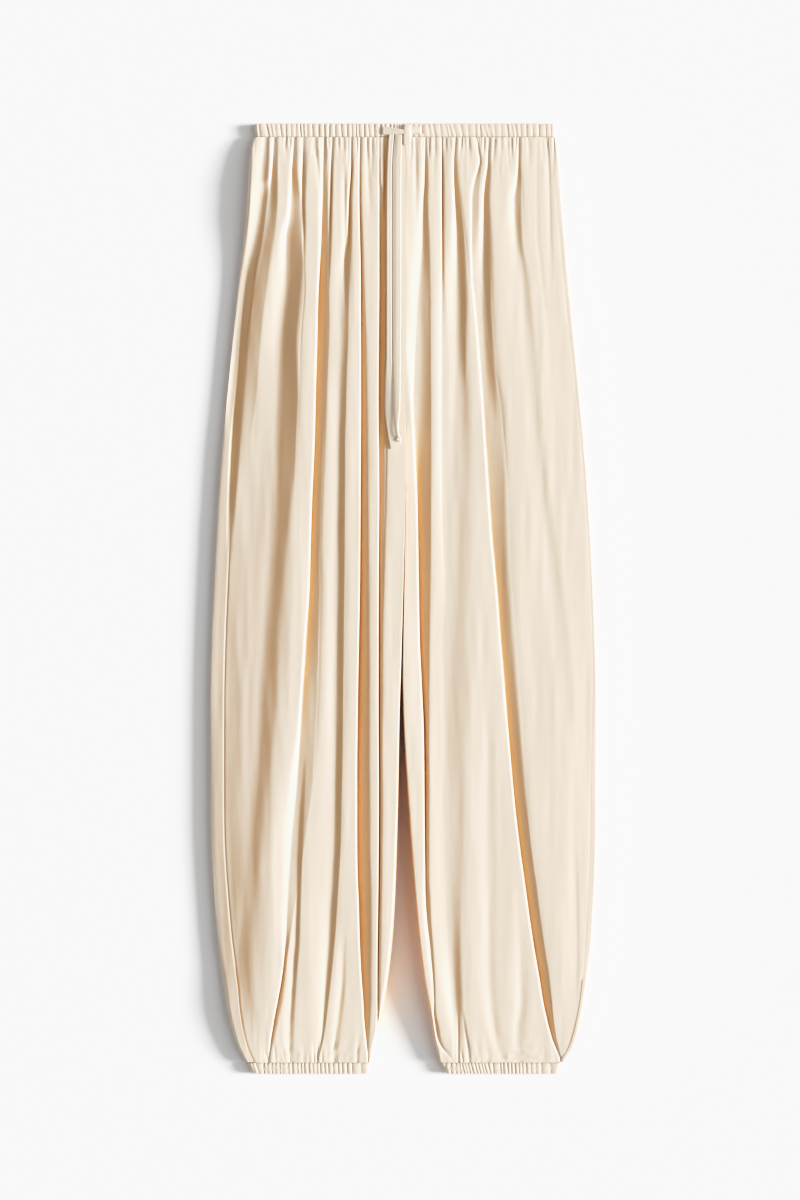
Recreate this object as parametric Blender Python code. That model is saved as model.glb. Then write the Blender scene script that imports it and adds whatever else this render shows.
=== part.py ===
"""Balloon pants laid flat on a surface: gathered cloth panels, ruched casings and a self-fabric tie.

X runs across the garment, Y towards the waist and Z up from the surface. Every length is in metres.
The tables hold millimetres, and "down" is the distance below the top of the waistband.
"""

import math

import bpy
import numpy as np

MM = 0.001
LENGTH = 1029 * MM
BAND = 14.4 * MM
CUFF = 12 * MM
RISE = 375 * MM
WALL = 1.5 * MM
CASING_WALL = 2.2 * MM
SEAM_GAP = 0.3 * MM
SEAT_GAP = 0.3 * MM
TOP_Y = LENGTH / 2
RIM_SHARE = 0.42  # height of the silhouette's widest line, as a share of the loft
OUTER_ROLL = 0.5  # width of the upper roll at the side, as a share of the loft
INNER_ROLL = 0.4  # the same between the legs
UNDER_ROLL = 0.34  # width of the lower roll, down to the surface
LOWEST_VALLEY = 4.6 * MM  # the least height of a valley, clear of the back panel
LOWEST_GATHER = 4.0 * MM
CROTCH_BLEND = 55 * MM  # length over which the centre seams run into the crotch
FULL_LOFT = 27.0  # the loft in millimetres at which the valleys have their stated depth
VALLEY_SLOPE = 1.5  # how fast a valley's side rises, and the power that rounds it
VALLEY_POWER = 1.7
SHOULDER = 1.3  # where a valley's side meets its ridge, in half widths
GATHER_DEPTH = 2.0 * MM
WAIST_GATHER_REACH = 26 * MM
CUFF_GATHER_REACH = 22 * MM
CLOTH = (0.80, 0.68, 0.53, 1.0)
SHADED_CLOTH = (0.77, 0.65, 0.50, 1.0)

LEFT = -1
RIGHT = 1

# One row for each section of the legs, going down. left_edge and right_edge are the outer edges,
# middle and half_gap place the inner edges, loft is the height of the top layer, and the last
# columns are the distances from an edge to the side seams and the inseam, which lie on top.
SECTION_COLUMNS = (
    "down", "left_edge", "right_edge", "middle", "half_gap", "loft", "left_seam", "right_seam", "left_inseam",
    "right_inseam",
)
SECTIONS = (
    (14, -163, 164, 1.0, 0.6, 9.0, 17, 7, 0, 0),
    (29, -167, 166, 1.0, 0.6, 12.0, 19, 7, 0, 0),
    (45, -168, 168, 1.0, 0.6, 15.0, 18, 7, 0, 0),
    (94, -171, 172, 1.0, 0.6, 20.0, 17, 7, 0, 0),
    (169, -179, 179, 1.2, 0.6, 24.0, 16, 7, 0, 0),
    (278, -190, 190, 1.6, 0.6, 26.0, 14, 6.5, 0, 0),
    (375, -199, 199, 1.6, 0.6, 27.0, 14, 6, 0, 0),
    (494, -206, 206, -0.5, 0.6, 27.0, 15, 5.5, 3, 2),
    (590, -209.5, 209.5, -2.6, 0.7, 27.0, 15, 6, 5, 3),
    (624, -210, 210, -3.0, 1.4, 27.0, 15, 7, 5, 3),
    (754, -209.5, 209.5, -0.8, 6.2, 26.0, 14.5, 9, 6, 3),
    (873, -203, 205, 1.3, 13.3, 24.0, 15.5, 9, 10, 4),
    (927, -196.5, 198.5, 1.6, 19.5, 21.0, 16, 6, 9, 4),
    (962, -191, 193, 1.9, 25.7, 18.0, 14, 5, 6, 3),
    (1000, -180, 183, 0.8, 33.5, 12.5, 11, 5, 5, 3),
    (1017, -171, 172, 1.0, 37.6, 10.0, 9, 5, 4, 3),
)

# One row for each fold valley of a front panel, from the side seam to the centre. The at_ columns are
# the valley's X at six distances down, left and right are its half widths, and start and end are
# where it begins and dies away.
FOLD_LEVELS = (30, 170, 385, 625, 820, 1000)
FOLD_COLUMNS = (
    "name", "start", "end", "at_30", "at_170", "at_385", "at_625", "at_820", "at_1000", "left", "right", "depth",
)
LEFT_FOLDS = (
    ("hip_crease", 10, 350, -138, -153, -174, -187, -184, -165, 4.0, 3.0, 6.5),
    ("broad_hollow", 0, 900, -119, -121, -131, -151, -165, -158, 6.0, 6.0, 9.0),
    ("short_tuck", 0, 250, -107, -112, -116, -136, -151, -150, 3.0, 3.0, 6.0),
    ("calf_tuck", 840, 1010, -97, -101, -108, -125, -134, -144, 4.0, 3.5, 8.0),
    ("long_pleat", 0, 1010, -78, -84, -95, -103, -113, -124, 5.5, 3.2, 12.0),
    ("soft_pleat", 0, 1010, -57, -59, -65, -67, -72, -92, 5.0, 4.5, 6.5),
    ("deep_pleat", 50, 1000, -46, -46, -46, -48, -45, -40, 3.5, 3.5, 11.0),
    ("centre_pleat", 0, 905, -26, -24, -26, -27, -27, -29, 2.8, 2.8, 11.0),
)
RIGHT_FOLDS = (
    ("side_tuck", 0, 130, 143, 147, 168, 186, 189, 174, 4.0, 4.0, 5.0),
    ("short_fold", 0, 600, 126, 127, 150, 172, 181, 169, 4.0, 6.0, 6.0),
    ("swept_pleat", 0, 1008, 92, 90, 97, 111, 133, 164, 4.0, 9.0, 9.5),
    ("thigh_fold", 0, 240, 79, 75, 82, 102, 113, 126, 4.0, 4.0, 5.0),
    ("calf_fold", 560, 1012, 66, 73, 79, 94, 95, 101, 5.0, 5.0, 5.5),
    ("soft_fold", 0, 1008, 54, 62, 65, 56, 53, 69, 6.0, 7.0, 6.0),
    ("inner_tuck", 0, 300, 42, 43, 48, 44, 42, 54, 2.5, 2.5, 6.0),
    ("deep_fold", 0, 965, 23, 25, 23, 23, 24, 40, 4.0, 5.0, 11.0),
)
FOLD_FADE = 45  # how far down a valley takes to reach its depth
SIDE_VALLEY_END = 438  # the left side seam lies in a deep valley as far down as this
SIDE_VALLEY_DEPTH = 7.0
SIDE_VALLEY_WIDTH = 4.5
SIDE_SEAM_DEPTH = 1.0

# Distances down of the cloth's rows, and how many columns of faces each stretch round a leg has.
ROWS = (
    14.7, 24, 36, 52, 76, 112, 165, 230, 295, 338, 375, 412, 470, 545, 620, 700, 775, 845, 895, 932, 960, 982, 1000,
    1010, 1016.7,
)
INNER_COLUMNS = 4
OUTER_COLUMNS = 4
UNDER_COLUMNS = 3
FLOOR_COLUMNS = 6
LEAST_SPACING = 1.3
MOST_STRETCH = 2.2  # the most that a wall's inner points move off at a sharp turn, in walls

# Rows of the tie's two hanging ends: the ribbon's left and right edge, and how far it is lifted.
TAIL_COLUMNS = ("down", "left", "right", "lift")
LEFT_TAIL = (
    (19.5, -18.8, -13.2, 0),
    (60, -19.4, -13.6, 0),
    (160, -19.0, -13.4, 0),
    (250, -19.4, -13.4, 0),
    (285, -20.6, -13.6, 0),
    (310, -21.4, -12.4, 0),
    (330, -19.6, -9.0, 0),
    (343, -17.2, -4.6, 0),
    (350, -15.6, -2.8, 0),
)
RIGHT_TAIL = (
    (19.5, -9.6, -2.6, 0),
    (60, -11.6, -3.0, 0),
    (160, -12.4, -3.0, 0),
    (250, -12.2, -3.4, 0),
    (290, -11.4, -4.6, 0.6),
    (318, -10.8, -5.6, 2.2),
    (334, -11.0, -4.6, 2.4),
    (345, -10.4, -3.4, 2.4),
)
RIBBON = 1.2 * MM
STRIP_TOP = 3.3 * MM
STRIP_BOTTOM = 12.2 * MM
LEFT_STRIP = (-24.4, -2.3)
RIGHT_STRIP = (7.9, 18.2)
KNOT = (-1.9, 7.5)
KNOT_TOP = 0.8 * MM
KNOT_BOTTOM = 17.5 * MM
KNOT_HEIGHT = 3.4 * MM
KNOT_SEAT = 0.7 * MM
KNOT_COLUMNS = 7
KNOT_ROWS = 9
KNOT_EDGE = 0.91  # how near its edges the pillow's rounding reaches, as a share of its half size
KNOT_FULLNESS = 0.6  # below 1, the pillow is fuller along its length
STRIP_ROWS = 4
STRIP_CROWN = 0.25 * MM
TAIL_SIDES = 5  # points across a hanging end
TAIL_CLEAR_ALONG = 6.0
TAIL_CLEAR_ACROSS = 1.0

# Casings: where each one starts and ends going down, its two sides at both ends, its height and the
# number of puckers along its front.
CASING_COLUMNS = (
    "name", "top", "bottom", "left_top", "right_top", "left_bottom", "right_bottom", "height", "puckers",
)
CASINGS = (
    ("waistband", 0, 14.4, -163.0, 164.0, -161.5, 164.5, 8.4, 24),
    ("cuff_left", 1017, 1029, -170.0, -37.0, -164.5, -37.0, 8.4, 9),
    ("cuff_right", 1017, 1029, 39.0, 170.5, 45.0, 167.0, 8.4, 9),
)
PUCKER = 0.9 * MM
CASING_SWELL = 1.1 * MM
CASING_ROWS = 4
CASING_ENDS = 3  # points of each rounded end before the flat stretch


def table(columns, rows):
    """Each column of a table by its name, as an array."""
    return {name: np.array([row[i] for row in rows]) for i, name in enumerate(columns)}


def smooth(at, stations, values):
    """A smooth curve through a table's values, without overshoot."""
    stations = np.asarray(stations, float)
    values = np.asarray(values, float)
    steps = np.diff(stations)
    slopes = np.diff(values) / steps
    tangents = np.zeros(len(values))
    same_way = slopes[:-1] * slopes[1:] > 0
    weight_a = 2 * steps[1:] + steps[:-1]
    weight_b = steps[1:] + 2 * steps[:-1]
    safe_a = np.where(same_way, slopes[:-1], 1.0)
    safe_b = np.where(same_way, slopes[1:], 1.0)
    mean = (weight_a + weight_b) / (weight_a / safe_a + weight_b / safe_b)
    tangents[1:-1] = np.where(same_way, mean, 0.0)
    tangents[0] = slopes[0]
    tangents[-1] = slopes[-1]
    at = np.clip(at, stations[0], stations[-1])
    i = np.clip(np.searchsorted(stations, at) - 1, 0, len(steps) - 1)
    t = (at - stations[i]) / steps[i]
    return (
        (1 + 2 * t) * (1 - t) ** 2 * values[i]
        + t * (1 - t) ** 2 * steps[i] * tangents[i]
        + t * t * (3 - 2 * t) * values[i + 1]
        + t * t * (t - 1) * steps[i] * tangents[i + 1]
    )


def ramp(value):
    """A soft step from 0 to 1."""
    t = np.clip(value, 0, 1)
    return t * t * (3 - 2 * t)


def valley(away, width):
    """The share of a valley's depth at a distance from its lowest line."""
    return np.exp(-((VALLEY_SLOPE * np.abs(away) / width) ** VALLEY_POWER))


class Section:
    """The shape of the garment across one leg at one distance down, in millimetres."""

    def __init__(self, down, side):
        sizes = table(SECTION_COLUMNS, SECTIONS)
        self.down = down
        self.side = side

        def size(name):
            return float(smooth(down, sizes["down"], sizes[name]))

        self.loft = size("loft")
        self.rim = RIM_SHARE * self.loft
        self.outer_edge = size("left_edge") if side == LEFT else size("right_edge")
        self.seam_inset = size("left_seam") if side == LEFT else size("right_seam")
        rise = RISE / MM
        self.split = float(ramp((down - rise + CROTCH_BLEND / MM) / (CROTCH_BLEND / MM)))
        half_gap = size("half_gap") * self.split + SEAM_GAP / MM / 2 * (1 - self.split)
        self.inner_edge = size("middle") + side * half_gap
        inseam = size("left_inseam") if side == LEFT else size("right_inseam")
        self.inseam_inset = inseam if down > rise else 0.0
        self.inward = -side
        self.outer_radius = OUTER_ROLL * self.loft
        self.inner_radius = INNER_ROLL * self.loft
        self.under_radius = UNDER_ROLL * self.loft
        self.folds = LEFT_FOLDS if side == LEFT else RIGHT_FOLDS

    def top(self, x):
        """Height of the top layer's outer surface."""
        from_outer = np.clip((x - self.outer_edge) * self.inward / self.outer_radius, 0, 1)
        from_inner = np.clip((self.inner_edge - x) * self.inward / self.inner_radius, 0, 1)
        outer_roll = np.sqrt(1 - (1 - from_outer) ** 2)
        inner_roll = np.sqrt(1 - (1 - from_inner) ** 2)
        height = self.rim + (self.loft - self.rim) * outer_roll * (1 - self.split * (1 - inner_roll))
        drop = np.zeros_like(height)
        for fold in self.folds:
            drop = drop + self.fold_drop(fold, x)
        drop = drop + self.side_drop(x)
        lowest = np.minimum(LOWEST_VALLEY / MM, height)
        return np.maximum(height - drop * self.loft / FULL_LOFT, lowest)

    def fold_drop(self, fold, x):
        """Depth of one valley at these places."""
        row = dict(zip(FOLD_COLUMNS, fold))
        reach = float(ramp((row["end"] - self.down) / FOLD_FADE))
        if row["start"] > 0:
            reach *= float(ramp((self.down - row["start"]) / FOLD_FADE))
        away = x - self.fold_line(fold)
        width = np.where(away < 0, row["left"], row["right"])
        return row["depth"] * reach * valley(away, width)

    def fold_line(self, fold):
        """X of one valley's lowest line."""
        return float(smooth(self.down, FOLD_LEVELS, fold[3:9]))

    def side_drop(self, x):
        """Depth of the valley that the side seam lies in."""
        seam = self.outer_edge + self.inward * self.seam_inset
        depth = SIDE_SEAM_DEPTH
        if self.side == LEFT:
            depth += (SIDE_VALLEY_DEPTH - depth) * float(ramp((SIDE_VALLEY_END - self.down) / FOLD_FADE))
        return depth * valley(x - seam, SIDE_VALLEY_WIDTH)

    def front_stations(self):
        """X of the front panel's columns, from the side seam to its inner end, and which dip as gathers."""
        seam = self.outer_edge + self.inward * self.seam_inset
        inner_span = max(self.inseam_inset + 2.0, self.inner_radius)
        inner_start = self.inner_edge - self.inward * inner_span
        folds = [(self.fold_line(fold), fold[9], fold[10]) for fold in self.folds]
        marks = [seam]
        dips = [0]
        for place, left, right in folds:
            before, after = (left, right) if self.side == LEFT else (right, left)
            marks += [place - self.inward * before * SHOULDER, place, place + self.inward * after * SHOULDER]
            dips += [0, 1, 0]
            marks.append(None)
            dips.append(1)
        marks[-1] = inner_start
        dips[-1] = 0
        for i, mark in enumerate(marks):
            if mark is None:
                marks[i] = (marks[i - 1] + marks[i + 1]) / 2
        away = (np.array(marks) - seam) * self.inward
        away = spaced(away, (inner_start - seam) * self.inward)
        arc_start = roll_angle(inner_span / self.inner_radius)
        arc_end = roll_angle(self.inseam_inset / self.inner_radius)
        angles = np.linspace(arc_start, arc_end, INNER_COLUMNS + 1)[1:]
        inner = self.inner_edge - self.inward * self.inner_radius * roll_distance(angles)
        x = np.concatenate([seam + self.inward * away, inner])
        return x, np.concatenate([dips, np.zeros(INNER_COLUMNS)])

    def front(self):
        """Points of the front panel's outer surface, from the side seam to its inner end."""
        x, dips = self.front_stations()
        z = self.top(x) - dips * self.gather()
        return np.stack([x, np.maximum(z, LOWEST_GATHER / MM)], axis=1)

    def gather(self):
        """Depth of the small pleats near the casings."""
        below_waist = self.down - BAND / MM
        above_cuff = (LENGTH - CUFF) / MM - self.down
        reach = math.exp(-((below_waist / (WAIST_GATHER_REACH / MM)) ** 2))
        reach += math.exp(-((above_cuff / (CUFF_GATHER_REACH / MM)) ** 2))
        return GATHER_DEPTH / MM * reach

    def back(self):
        """Points of the back panel's outer surface, from the side seam round to its inner end."""
        angle = roll_angle(self.seam_inset / self.outer_radius)
        angles = np.linspace(angle, 0, OUTER_COLUMNS + 1)
        x = self.outer_edge + self.inward * self.outer_radius * roll_distance(angles)
        upper = np.stack([x, self.top(x)], axis=1)
        turns = np.linspace(0, math.pi / 2, UNDER_COLUMNS + 1)[1:]
        under_x = self.outer_edge + self.inward * self.under_radius * (1 - np.cos(turns))
        under = np.stack([under_x, self.rim * (1 - np.sin(turns))], axis=1)
        floor_end = self.inner_edge - self.inward * self.under_radius
        floor_x = np.linspace(under_x[-1], floor_end, FLOOR_COLUMNS + 1)[1:]
        floor = np.stack([floor_x, np.zeros(len(floor_x))], axis=1)
        end_angle = roll_angle(self.inseam_inset / self.inner_radius)
        path = np.linspace(0, math.pi / 2 + end_angle, INNER_COLUMNS + UNDER_COLUMNS)[1:]
        low = np.minimum(path, math.pi / 2)
        high = np.maximum(path - math.pi / 2, 0)
        inner_x = np.where(
            path <= math.pi / 2,
            self.inner_edge - self.inward * self.under_radius * (1 - np.sin(low)),
            self.inner_edge - self.inward * self.inner_radius * roll_distance(high),
        )
        inner_z = np.where(path <= math.pi / 2, self.split * self.rim * (1 - np.cos(low)), self.top(inner_x))
        return np.concatenate([upper, under, floor, np.stack([inner_x, inner_z], axis=1)])

    def loop(self):
        """The front and the back as one line round the leg, with its inward normals."""
        front = self.front()[::-1]
        back = self.back()
        line = np.concatenate([front, back[1:]])
        runs = np.diff(line, axis=0)
        runs /= np.linalg.norm(runs, axis=1)[:, None]
        turn = -self.side
        facing = turn * np.stack([-runs[:, 1], runs[:, 0]], axis=1)
        before = np.concatenate([facing[-1:], facing])
        after = np.concatenate([facing, facing[:1]])
        if self.down <= RISE / MM:
            level = np.array([self.side * self.split, self.split - 1])
            before[0] = after[0] = level
            level = np.array([self.side * self.split, 1 - self.split])
            before[-1] = after[-1] = level
        normal = before + after
        length = np.linalg.norm(normal, axis=1)
        normal /= length[:, None]
        stretch = np.clip(2 / np.maximum(length, 0.1), 1, MOST_STRETCH)
        if self.down <= RISE / MM:
            stretch[0] = stretch[-1] = 1
        return line, normal * stretch[:, None], len(front)


def roll_angle(inset):
    """Where a point lies on a roll: an angle as far as the top, and a length past it."""
    if inset < 1:
        return math.acos(1 - inset)
    return math.pi / 2 + inset - 1


def roll_distance(angles):
    """The share of the roll's width at these places."""
    return np.where(angles < math.pi / 2, 1 - np.cos(np.minimum(angles, math.pi / 2)), 1 + angles - math.pi / 2)


def spaced(places, span):
    """Rising places from 0 to the span, none closer to the next than the least spacing."""
    places = np.clip(places, 0, span)
    places[0] = 0
    places[-1] = span
    for i in range(1, len(places)):
        places[i] = max(places[i], places[i - 1] + LEAST_SPACING)
    places[-1] = span
    for i in range(len(places) - 2, 0, -1):
        places[i] = min(places[i], places[i + 1] - LEAST_SPACING)
    return places


def shell(name, outer, inner, colour, roughness=0.72):
    """A closed wall between two grids of points with the same rows and columns."""
    rows, columns = outer.shape[:2]
    count = rows * columns
    points = np.concatenate([outer.reshape(-1, 3), inner.reshape(-1, 3)])

    def at(row, column, layer):
        return layer * count + row * columns + column

    faces = []
    for row in range(rows - 1):
        for column in range(columns - 1):
            a, b = at(row, column, 0), at(row, column + 1, 0)
            c, d = at(row + 1, column + 1, 0), at(row + 1, column, 0)
            faces.append((a, b, c, d))
            faces.append((a + count, d + count, c + count, b + count))
    for column in range(columns - 1):
        for row, way in ((0, 1), (rows - 1, -1)):
            a, b = at(row, column, 0), at(row, column + 1, 0)
            faces.append((a, a + count, b + count, b)[::way])
    for row in range(rows - 1):
        for column, way in ((0, -1), (columns - 1, 1)):
            a, b = at(row, column, 0), at(row + 1, column, 0)
            faces.append((a, a + count, b + count, b)[::way])
    return add_object(name, points, faces, colour, roughness)


def add_object(name, points, faces, colour, roughness):
    """A mesh object with its faces turned outwards and its own material."""
    mesh = bpy.data.meshes.new(name)
    mesh.from_pydata(points.tolist(), [], faces)
    mesh.update()
    if enclosed_volume(mesh) < 0:
        mesh.flip_normals()
    mesh.shade_smooth()
    mesh.set_sharp_from_angle(angle=math.radians(60))
    material = bpy.data.materials.new(name)
    material.use_nodes = True
    shader = material.node_tree.nodes["Principled BSDF"]
    shader.inputs["Base Color"].default_value = colour
    shader.inputs["Roughness"].default_value = roughness
    shader.inputs["Metallic"].default_value = 0.0
    mesh.materials.append(material)
    piece = bpy.data.objects.new(name, mesh)
    bpy.context.scene.collection.objects.link(piece)
    return piece


def enclosed_volume(mesh):
    """Volume inside a closed mesh, negative if its faces point inwards."""
    mesh.calc_loop_triangles()
    points = np.empty(len(mesh.vertices) * 3)
    mesh.vertices.foreach_get("co", points)
    corners = np.empty(len(mesh.loop_triangles) * 3, dtype=np.int32)
    mesh.loop_triangles.foreach_get("vertices", corners)
    return float(np.linalg.det(points.reshape(-1, 3)[corners.reshape(-1, 3)]).sum()) / 6


def parted(line, normals, ends):
    """Moves the ends of a line in by half a seam gap along it."""
    line = line.copy()
    for end, neighbour in ends:
        run = line[neighbour] - line[end]
        line[end] = line[end] + run / np.linalg.norm(run) * SEAM_GAP / MM / 2
    return line, line + normals * WALL / MM


def in_space(lines, downs):
    """Section lines in millimetres, set at their distances down, as points in metres."""
    lines = np.asarray(lines)
    points = np.empty(lines.shape[:2] + (3,))
    points[..., 0] = lines[..., 0] * MM
    points[..., 1] = TOP_Y - np.asarray(downs)[:, None] * MM
    points[..., 2] = lines[..., 1] * MM
    return points


def make_leg(side):
    """The front and back panel of one side, and the front's outer surface for what lies on it."""
    fronts, front_insides, backs, back_insides = [], [], [], []
    for down in ROWS:
        line, normals, front_count = Section(down, side).loop()
        above = down <= RISE / MM
        front_ends = [(-1, -2)] if above else [(0, 1), (-1, -2)]
        back_ends = [(0, 1)] if above else [(0, 1), (-1, -2)]
        outer, inner = parted(line[:front_count], normals[:front_count], front_ends)
        fronts.append(outer)
        front_insides.append(inner)
        outer, inner = parted(line[front_count - 1:], normals[front_count - 1:], back_ends)
        backs.append(outer)
        back_insides.append(inner)
    word = "left" if side == LEFT else "right"
    shell(f"front_{word}", in_space(fronts, ROWS), in_space(front_insides, ROWS), CLOTH)
    shell(f"back_{word}", in_space(backs, ROWS), in_space(back_insides, ROWS), SHADED_CLOTH)
    return np.asarray(fronts)


def casing_line(row, down, count, puckers):
    """Outer line round a casing at one distance down, its inward normals and the front's length."""
    share = (down - row["top"]) / (row["bottom"] - row["top"])
    left = row["left_top"] + (row["left_bottom"] - row["left_top"]) * share
    right = row["right_top"] + (row["right_bottom"] - row["right_top"]) * share
    swell = CASING_SWELL / MM * math.sin(math.pi * share)
    height = row["height"] + swell
    radius = height / 2
    turns = np.linspace(0, math.pi / 2, CASING_ENDS + 1)[:-1]
    ends = radius * (1 - np.cos(turns))
    middle_x = np.linspace(right - radius, left + radius, count)
    wave = np.where(np.arange(count) % 2 == 0, 0.0, puckers)
    wave[:1] = wave[-1:] = 0
    x = np.concatenate([right - ends, middle_x, left + ends[::-1]])
    z = np.concatenate([radius + radius * np.sin(turns), height - wave, radius + radius * np.sin(turns[::-1])])
    front = np.stack([x, z], axis=1)
    back_z = np.concatenate([radius - radius * np.sin(turns), wave, radius - radius * np.sin(turns[::-1])])
    back = np.stack([x, back_z], axis=1)[::-1]
    return front, back


def wall_inside(line, wall, closing):
    """The inside of a casing wall, whose two ends face each other across the side seams."""
    plain = line.copy()
    flat = slice(CASING_ENDS + 1, -CASING_ENDS - 1)
    plain[flat, 1] = np.median(line[flat, 1])
    runs = np.diff(plain, axis=0)
    runs /= np.linalg.norm(runs, axis=1)[:, None]
    facing = np.stack([-runs[:, 1], runs[:, 0]], axis=1)
    normal = np.concatenate([facing[:1], facing]) + np.concatenate([facing, facing[-1:]])
    normal /= np.linalg.norm(normal, axis=1)[:, None]
    normal[0] = closing
    normal[-1] = -closing
    inside = plain + normal * wall
    inside[flat, 1] = plain[flat, 1] + normal[flat, 1] * (wall + PUCKER / MM / 2)
    return inside


def make_casing(row):
    """The front and back of one ruched casing. Returns the front's outer lines and their rows."""
    downs = np.linspace(row["top"], row["bottom"], CASING_ROWS)
    count = 2 * int(row["puckers"]) + 1
    depth = PUCKER / MM
    fronts, front_insides, backs, back_insides = [], [], [], []
    for down in downs:
        front, back = casing_line(row, down, count, depth)
        inward = np.array([-1.0, 0.0])
        front_inside = wall_inside(front, CASING_WALL / MM, inward)
        back_inside = wall_inside(back, CASING_WALL / MM, -inward)
        gap = SEAM_GAP / MM / 2
        for line, lift in ((front, gap), (front_inside, gap), (back, -gap), (back_inside, -gap)):
            line[[0, -1], 1] += lift
        fronts.append(front)
        front_insides.append(front_inside)
        backs.append(back)
        back_insides.append(back_inside)
    shell(f"{row['name']}_front", in_space(fronts, downs), in_space(front_insides, downs), CLOTH)
    shell(f"{row['name']}_back", in_space(backs, downs), in_space(back_insides, downs), SHADED_CLOTH)
    return np.asarray(fronts), downs


def height_on(lines, downs, x, down):
    """Height of a panel's outer surface at one place, read along its own rows."""
    after = int(np.clip(np.searchsorted(downs, down), 1, len(downs) - 1))
    share = np.clip((down - downs[after - 1]) / (downs[after] - downs[after - 1]), 0, 1)
    heights = []
    for line in (lines[after - 1], lines[after]):
        order = np.argsort(line[:, 0])
        heights.append(np.interp(x, line[order, 0], line[order, 1]))
    return heights[0] * (1 - share) + heights[1] * share


def make_tail(name, rows, lines):
    """One hanging end of the tie, laid on the front panel."""
    shape = table(TAIL_COLUMNS, rows)
    panel_rows = [down for down in ROWS if shape["down"][0] < down < shape["down"][-1]]
    downs = np.unique(np.concatenate([shape["down"], panel_rows]))
    unders, tops = [], []
    for down in downs:
        left = float(smooth(down, shape["down"], shape["left"]))
        right = float(smooth(down, shape["down"], shape["right"]))
        lift = float(smooth(down, shape["down"], shape["lift"]))
        x = np.linspace(left, right, TAIL_SIDES)
        near = [
            height_on(lines, ROWS, x + aside, np.clip(down + step, ROWS[0], ROWS[-1]))
            for step in (-TAIL_CLEAR_ALONG, 0, TAIL_CLEAR_ALONG)
            for aside in (-TAIL_CLEAR_ACROSS, 0, TAIL_CLEAR_ACROSS)
        ]
        z = np.max(near, axis=0) + SEAT_GAP / MM + lift
        unders.append(np.stack([x, z], axis=1))
        tops.append(np.stack([x, z + RIBBON / MM], axis=1))
    shell(name, in_space(tops, downs), in_space(unders, downs), CLOTH)


def make_strip(name, span, lines, downs):
    """A stretch of the tie that lies along the waistband, made from the casing's own points."""
    line = lines[len(lines) // 2]
    order = np.argsort(line[:, 0])
    inside = order[(line[order, 0] > span[0]) & (line[order, 0] < span[1])]
    x = np.concatenate([[span[0]], line[inside, 0], [span[1]]])
    highest = max(float(row[inside, 1].max()) for row in lines)
    rows = np.linspace(STRIP_TOP / MM, STRIP_BOTTOM / MM, STRIP_ROWS)
    under = np.full((len(rows), len(x)), highest + SEAT_GAP / MM)
    tops = under + RIBBON / MM - STRIP_CROWN / MM * np.abs(np.linspace(-1, 1, len(rows)))[:, None]
    shape_top = np.stack([np.tile(x, (len(rows), 1)), tops], axis=2)
    shape_under = np.stack([np.tile(x, (len(rows), 1)), under], axis=2)
    shell(name, in_space(shape_top, rows), in_space(shape_under, rows), CLOTH)


def make_knot(lines):
    """The tie's knot: a short pillow over the waistband that the strips run into."""
    highest = float(lines[..., 1].max())
    x = np.linspace(KNOT[0], KNOT[1], KNOT_COLUMNS)
    rows = np.linspace(KNOT_TOP / MM, KNOT_BOTTOM / MM, KNOT_ROWS)
    across = np.sqrt(1 - np.linspace(-KNOT_EDGE, KNOT_EDGE, KNOT_COLUMNS) ** 2)
    along = np.sqrt(1 - np.linspace(-KNOT_EDGE, KNOT_EDGE, KNOT_ROWS) ** 2) ** KNOT_FULLNESS
    top = highest + KNOT_SEAT / MM + KNOT_HEIGHT / MM * np.outer(along, across)
    under = np.full_like(top, highest + KNOT_SEAT / MM)
    grid_x = np.tile(x, (len(rows), 1))
    outside = in_space(np.stack([grid_x, top], axis=2), rows)
    underside = in_space(np.stack([grid_x, under], axis=2), rows)
    shell("tie_knot", outside, underside, CLOTH)


def main():
    for old in list(bpy.data.objects):
        bpy.data.objects.remove(old, do_unlink=True)
    left_front = make_leg(LEFT)
    make_leg(RIGHT)
    casings = [make_casing(dict(zip(CASING_COLUMNS, row))) for row in CASINGS]
    band_lines, band_downs = casings[0]
    make_tail("tie_tail_left", LEFT_TAIL, left_front)
    make_tail("tie_tail_right", RIGHT_TAIL, left_front)
    make_strip("tie_strip_left", LEFT_STRIP, band_lines, band_downs)
    make_strip("tie_strip_right", RIGHT_STRIP, band_lines, band_downs)
    make_knot(band_lines)


main()
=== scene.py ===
"""Balloon pants laid flat: folded cloth, ruched casings, a self-fabric tie and the sewing.

Sizes in the classes are millimetres. "Down" is the distance below the top of the waistband and X runs
across, as in the part's source. Meshes are made in metres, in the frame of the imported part.
"""

import logging
import math
from dataclasses import dataclass, field
from enum import Enum
from functools import lru_cache
from typing import Any

import bpy
import numpy as np
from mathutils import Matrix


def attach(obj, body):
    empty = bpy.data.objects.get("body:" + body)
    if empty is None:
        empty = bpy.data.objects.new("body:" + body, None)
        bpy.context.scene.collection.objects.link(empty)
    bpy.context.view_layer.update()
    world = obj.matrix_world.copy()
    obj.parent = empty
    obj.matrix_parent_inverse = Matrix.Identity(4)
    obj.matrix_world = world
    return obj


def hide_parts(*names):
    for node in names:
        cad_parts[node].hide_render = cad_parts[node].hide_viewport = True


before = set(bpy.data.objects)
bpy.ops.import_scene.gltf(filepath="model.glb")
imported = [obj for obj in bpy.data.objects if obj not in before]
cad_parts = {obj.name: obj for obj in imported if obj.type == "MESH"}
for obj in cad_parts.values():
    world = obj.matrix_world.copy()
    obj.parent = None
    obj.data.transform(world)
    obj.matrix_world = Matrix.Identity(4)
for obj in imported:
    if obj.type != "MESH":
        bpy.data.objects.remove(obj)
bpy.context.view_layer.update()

MM = 0.001
LENGTH = 1029.0
BAND = 14.4
CUFF = 12.0
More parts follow.
